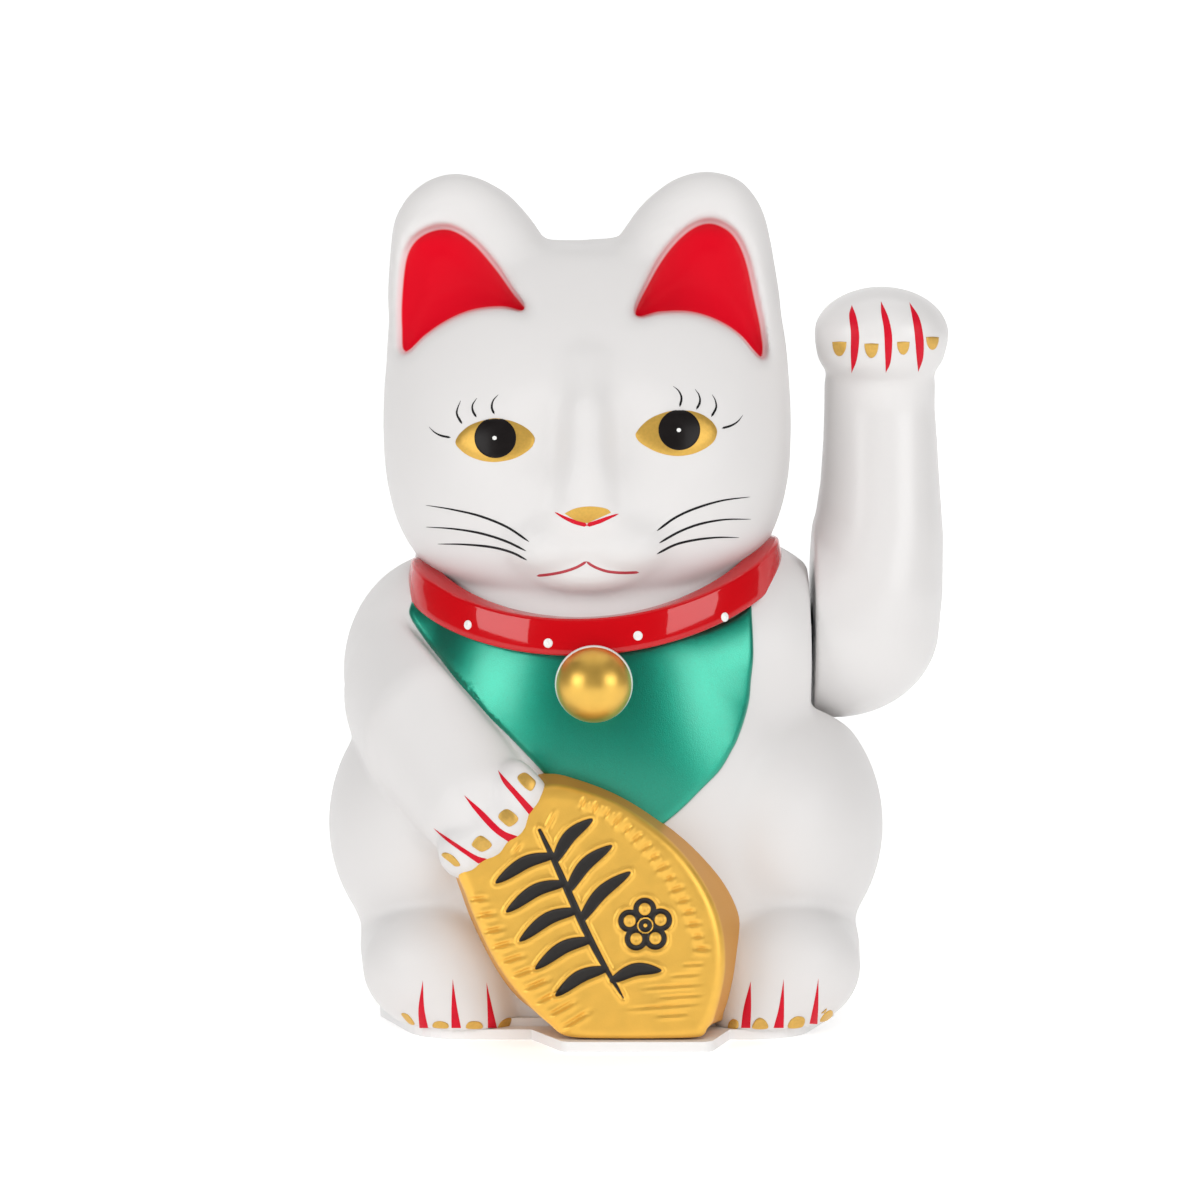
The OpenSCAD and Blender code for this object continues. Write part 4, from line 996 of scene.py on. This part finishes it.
BIB = outline(
    [(-44.9, 101.0), (-40.6, 100.2), (-37.0, 97.6), (-31.5, 94.9), (-23.7, 92.1), (-17.0, 90.7),
     (-4.0, 89.8),
     (7.5, 90.7), (12.5, 92.1), (22.6, 94.9), (28.8, 97.6), (33.0, 100.4)],
    [(33.0, 100.4), (33.4, 92.3), (33.4, 87.7), (32.9, 83.1), (32.5, 78.5), (31.4, 73.9),
     (29.8, 69.3),
     (28.6, 66.9), (25.9, 62.3), (21.5, 57.7), (16.9, 53.1), (12.0, 49.0)],
    [(12.0, 49.0), (0.0, 50.0), (-10.5, 56.5)],
    [(-10.5, 56.5), (-15.3, 62.3), (-21.9, 69.3), (-26.5, 73.9), (-30.6, 78.5), (-34.7, 83.1),
     (-38.2, 87.7),
     (-41.8, 92.3), (-45.3, 97.9), (-44.9, 101.0)], step=0.6)
bib = patch("bib_cloth", BIB, body_tree, bib_green, 0.9, 1.6, 1.1, depth=0.5)
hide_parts("bib")

BELL = np.array([-3.1, -51.0, 82.6])
BELL_R = 8.62
arc = [(BELL_R * math.cos(t), BELL_R * math.sin(t)) for t in np.linspace(0, math.radians(126), 40)]
profile = [(h, r) for h, r in arc] + [(arc[-1][0] - 0.3, arc[-1][1] - 0.2), (arc[-1][0] - 0.5, 0)]
profile[0] = (BELL_R, 0)
lathe("bell_ball", profile[::-1], BELL, (0, -1, 0), bell_gold, 72,
      replaces="bell")
ring = [(-1.9, 0), (-1.9, 8.2), (-1.5, 8.75), (-0.9, 8.92), (-0.3, 8.75), (0.0, 8.2), (0.0, 0)]
lathe("bell_seat", ring, BELL + [0, 1.2, 0], (0, -1, 0), rim_light, 72)

# ---------------------------------------------------------------- the coin
COIN_FACE = [(-6.5, 2.6), (18.5, 2.6), (22.6, 5.2), (24.6, 10.5), (25.9, 19), (24.6, 29),
             (20.5, 38.6),
             (13.8, 47.2), (5, 53.8), (-3, 57.4), (-14, 58.9), (-27, 51), (-33.6, 42.5),
             (-31.9, 36),
             (-28.5, 27.5), (-24.6, 19.8), (-19.5, 12.8), (-13.6, 6.6)]
COIN_ROOT = [(-8, 2.6), (24, 2.6), (28, 6), (30.8, 16), (31.2, 26.5), (27.5, 36), (20, 45),
             (12, 51.5),
             (4, 56.8), (-6, 61.2), (-15.5, 62.5), (-30, 54), (-35.6, 42), (-33.5, 32), (-29, 20.5),
             (-24, 12), (-17.5, 6)]
COIN_LEAN = math.tan(math.radians(4.5))
ROOT_Y, FOOT_Y = -40.0, -62.5
STEM = smooth_loop([(-15.4, 50.2), (-11.6, 42.2), (-8.2, 34.6), (-4.8, 27.2), (-0.8, 19.6),
                    (3.6, 12.2)], 0.25,
                   closed=False)
LEAVES = [
    [(-12.6, 44.4), (-18.6, 42.9), (-25.2, 38.4)], [(-9.8, 38.2), (-16.2, 36.6), (-22.8, 31.8)],
    [(-7.0, 32.0), (-13.4, 30.2), (-19.8, 25.2)], [(-3.8, 25.4), (-10.0, 23.6), (-16.2, 18.9)],
    [(-0.4, 18.8), (-6.2, 17.0), (-11.6, 12.8)], [(-12.0, 43.2), (-8.6, 48.8), (-3.6, 52.6)],
    [(-9.0, 36.4), (-5.0, 42.4), (0.8, 46.6)], [(-6.0, 29.8), (-1.4, 36.0), (5.0, 40.6)],
    [(1.2, 16.2), (6.4, 18.6), (12.0, 18.4)]]
BLOSSOM = (8.6, 28.6)


def ornament(x, z):
    """Distance in mm to the sprig that is pressed into the face, negative inside."""
    d = np.full(x.shape, 50.0)
    for path, w in [(STEM, 0.85)] + [(smooth_loop(p, 0.25, closed=False), 1.5) for p in LEAVES]:
        t = np.linspace(0, 1, len(path))
        half = w * np.sin(np.pi * np.clip(0.12 + 0.86 * t, 0.02, 0.98) ** 1.1) ** 0.6
        for (px, pz), h in zip(path, half):
            np.minimum(d, np.hypot(x - px, z - pz) - h, out=d)
    bx, bz = BLOSSOM
    r = np.hypot(x - bx, z - bz)
    for k in range(5):
        a = math.radians(72 * k + 20)
        petal = np.hypot(x - bx - 3.7 * math.cos(a), z - bz - 3.7 * math.sin(a))
        d = np.minimum(d, np.where(r > 1.9, np.abs(petal - 2.0) - 0.62, 9.0))
    return np.minimum(d, np.abs(r - 1.0) - 0.55)


def notches():
    """Hammer marks near the coin's rim: middle, direction, length, width and depth of each."""
    out = []
    left = smooth_loop([(-29.6, 34.6), (-27.6, 29.6), (-25.2, 24.6), (-21.6, 19.6), (-17.2, 14.6),
                        (-12.4, 9.8),
                        (-9.6, 7.2)], 3.9, closed=False)
    for k, (x, z) in enumerate(left):
        out.append((x + 0.25 * k, z, math.radians(7 + 2.8 * k), 4.4 + 0.28 * k, 0.50, 0.55))
    top = smooth_loop([(-5.6, 56.4), (-0.6, 54.4), (4.0, 51.0), (8.5, 46.6), (12.9, 41.2),
                       (16.6, 35.4), (19.4, 29.4),
                       (21.4, 23.4)], 2.9, closed=False)
    for k, (x, z) in enumerate(top):
        out.append((x, z, math.radians(66 - 4.6 * k), 2.8 + 0.5 * math.sin(2.6 * k), 0.50, 0.50))
    for x, z, length in ((19.4, 19.8, 4.0), (17.6, 17.4, 5.5), (14.6, 14.9, 11.0),
                         (16.4, 12.6, 8.0),
                         (12.4, 10.3, 13.0), (14.6, 8.4, 6.0)):
        out.append((x, z, math.radians(4), length, 0.34, 0.34))
    out.append((-13.2, 52.4, math.radians(62), 4.6, 0.42, -0.42))
    out.append((-20.8, 46.3, math.radians(50), 3.0, 0.42, -0.42))
    return out


def face_relief(x, z, orn):
    """How far the coin's face is pressed in, in mm, at each place."""
    s = np.clip((0.12 - orn) / 0.42, 0, 1)
    relief = 0.5 * s * s * (3 - 2 * s) - 0.34 * np.exp(-((orn - 0.62) / 0.32) ** 2)
    for cx, cz, a, length, width, depth in notches():
        c, s = math.cos(a), math.sin(a)
        u = (x - cx) * c + (z - cz) * s
        v = -(x - cx) * s + (z - cz) * c
        along = np.exp(-(np.abs(u) / (length / 2)) ** 4)
        groove = np.exp(-(v / width) ** 2)
        upper = 0.2 * np.exp(-((v - 1.6 * width) / width) ** 2)
        lower = 0.8 * np.exp(-((v + 1.7 * width) / (1.2 * width)) ** 2)
        relief += depth * along * (groove - upper - lower)
    return relief


def sample(f, x, y, z):
    """Values of the field f on the block of places x, y, z."""
    out = f.d
    for axis, p in enumerate((x, y, z)):
        t = np.clip((p - f.lo[axis]) / f.h, 0, f.n[axis] - 1.001)
        k = t.astype(int)
        w = (t - k).astype(np.float32)
        shape = [1, 1, 1]
        shape[axis] = -1
        w = w.reshape(shape)
        out = np.take(out, k, axis) * (1 - w) + np.take(out, k + 1, axis) * w
    return out


coin_f = Field([-39, -65.5, 1.5], [34, -38.6, 65], 0.31)
x, y, z = (coin_f.lo[k] + coin_f.h * np.arange(coin_f.n[k]) for k in range(3))
gx, gz = np.meshgrid(x, z, indexing="ij")
d_face = poly_distance(gx, gz, smooth_loop(COIN_FACE, 1.0))
d_root = poly_distance(gx, gz, smooth_loop(COIN_ROOT, 1.0))
orn = ornament(gx, gz)
relief = face_relief(gx, gz, orn)
t = ((y - ROOT_Y) / (FOOT_Y - ROOT_Y))[None, :, None]
side = d_root[:, None, :] * (1 - t) + d_face[:, None, :] * t
front = (FOOT_Y + COIN_LEAN * gz + relief)[:, None, :] - y[None, :, None]
flat = np.maximum(2.62 - z, -50)[None, None, :]
coin_f.d = -smin(-side, -front, 2.6)
coin_f.d = -smin(-coin_f.d, -(flat + 0 * coin_f.d), 0.8)
coin_f.d = np.maximum(coin_f.d, (y - ROOT_Y)[None, :, None])
coin_f.d = np.maximum(coin_f.d, -(sample(body_f, x, y, z) + 0.35)).astype(np.float32)
kv, kq = coin_f.mesh()
coin = mesh_object("koban", kv, kq, coin_gold, angle=50)
v = coords(coin)
ink_mm = ornament(v[:, 0], v[:, 2])
ink_mm[v[:, 1] > FOOT_Y + COIN_LEAN * v[:, 2] + 2.0] = 9.0
set_attribute(coin, "ink_mm", ink_mm)
# how far each place lies behind the coin's face, for the painted shade on its side walls
set_attribute(coin, "painted_shade_side_mm", 2.4 - (v[:, 1] - (FOOT_Y + COIN_LEAN * v[:, 2])))
place_piece(coin, "body", "koban_coin")

# ---------------------------------------------------------------- finishes of the other parts
FINISHES = [
    ("base_white", (0.80, 0.79, 0.785), 0.45,
     dict(vary=0.015, vary_scale=50, bump=0.2, bump_scale=1400, bump_dist=0.0001),
     "base_plate battery_cover"),
    ("moulded_white", (0.78, 0.77, 0.75), 0.5,
     dict(vary=0.03, vary_scale=80, bump=0.3, bump_scale=1500, bump_dist=0.00008),
     "mechanism_frame coil_bobbin"),
    ("natural_nylon", (0.70, 0.66, 0.55), 0.45,
     dict(vary=0.05, vary_scale=120, bump=0.2, bump_scale=1200, bump_dist=0.00008),
     "arm_hub pendulum_lever axle_bushes"),
    ("black_plastic", (0.02, 0.02, 0.022), 0.42,
     dict(vary=0.2, vary_scale=400, bump=0.3, bump_scale=1800, bump_dist=0.00006),
     "transistor switch_knob"),
    ("bright_steel", (0.62, 0.62, 0.63), 0.28,
     dict(metal=1.0, vary=0.06, vary_scale=300, rough_vary=0.08, bump=0.15, bump_scale=3000,
          bump_dist=0.00003),
     "base_screws frame_screws board_screws axle contact_spring contact_plates magnet switch_body"),
    ("dull_steel", (0.36, 0.37, 0.38), 0.45,
     dict(metal=1.0, vary=0.1, vary_scale=260, rough_vary=0.1, bump=0.25, bump_scale=2000,
          bump_dist=0.00004),
     "axle_clips counterweight"),
    ("enamelled_copper", (0.62, 0.24, 0.09), 0.32,
     dict(metal=0.9, vary=0.15, vary_scale=900, stretch=(1, 1, 12), bump=0.5, bump_scale=700,
          bump_dist=0.00015), "coil_winding"),
    ("board_green", (0.03, 0.22, 0.09), 0.4, dict(coat=0.4, vary=0.2, vary_scale=500),
     "circuit_board"),
    ("cell_jacket", (0.05, 0.13, 0.30), 0.3,
     dict(coat=0.5, vary=0.12, vary_scale=200, stretch=(1, 8, 1)), "battery"),
    ("capacitor_blue", (0.05, 0.09, 0.35), 0.3, dict(coat=0.3, vary=0.1, vary_scale=600),
     "capacitor"),
    ("resistor_tan", (0.55, 0.40, 0.22), 0.4, dict(vary=0.15, vary_scale=1400, stretch=(8, 1, 1)),
     "resistor"),
    ("wire_red", (0.55, 0.03, 0.02), 0.35, dict(coat=0.2, vary=0.1, vary_scale=400),
     "wire_cell_to_switch wire_switch_to_board"),
    ("wire_black", (0.02, 0.02, 0.02), 0.35, dict(coat=0.2, vary=0.3, vary_scale=400),
     "wire_cell_to_board")]
for name, color, rough, options, users in FINISHES:
    material = node_material(name, color, rough, **options)
    for n in users.split():
        for s in nodes[n].material_slots:
            s.material = material

# ---------------------------------------------------------------- studio
floor_mat = node_material("studio_floor", (0.90, 0.90, 0.90), 0.8, vary=0.005, vary_scale=3,
                          spec=0.1)
glow = floor_mat.node_tree.nodes["Principled BSDF"].inputs
glow["Emission Color"].default_value = (1, 1, 1, 1)
glow["Emission Strength"].default_value = 0.40
pts = [(-1500, 0.0)] + [(900 + 900 * math.sin(a), 900 - 900 * math.cos(a))
                        for a in np.linspace(0, math.pi / 2, 24)] + [(1800, 3000)]
sweep_v = [(x, y, z) for y, z in pts for x in (-2500, 2500)]
sweep_q = [(2 * i, 2 * i + 1, 2 * i + 3, 2 * i + 2) for i in range(len(pts) - 1)]
floor = mesh_object("studio_sweep", sweep_v, np.array(sweep_q), floor_mat)


def area_light(name, at, aim, size, power):
    d = bpy.data.lights.new(name, "AREA")
    d.shape = "RECTANGLE"
    d.size, d.size_y = size
    d.energy = power
    o = link(bpy.data.objects.new(name, d))
    o.location = at
    o.rotation_euler = (Vector(aim) - Vector(at)).to_track_quat("-Z", "Y").to_euler()
    return o


area_light("softbox_left", (-1.02, -0.80, 0.46), (0, 0, 0.09), (0.76, 0.60), 5.7)
area_light("softbox_right", (1.04, -0.78, 0.46), (0, 0, 0.09), (0.76, 0.60), 5.3)
area_light("softbox_top", (0, -0.1, 1.5), (0, 0, 0.1), (1.4, 1.0), 2.4)
area_light("backdrop_wash", (0, 0.5, 1.6), (0, 1.8, 0.5), (1.6, 0.8), 8)
fill = area_light("front_fill", (0, -1.2, 1.0), (0, 0, 0.10), (1.0, 0.8), 8.4)
fill.visible_glossy = False
world = bpy.data.worlds.new("studio_world")
bpy.context.scene.world = world
world.use_nodes = True
world.node_tree.nodes["Background"].inputs["Color"].default_value = (1, 1, 1, 1)
world.node_tree.nodes["Background"].inputs["Strength"].default_value = 0.12
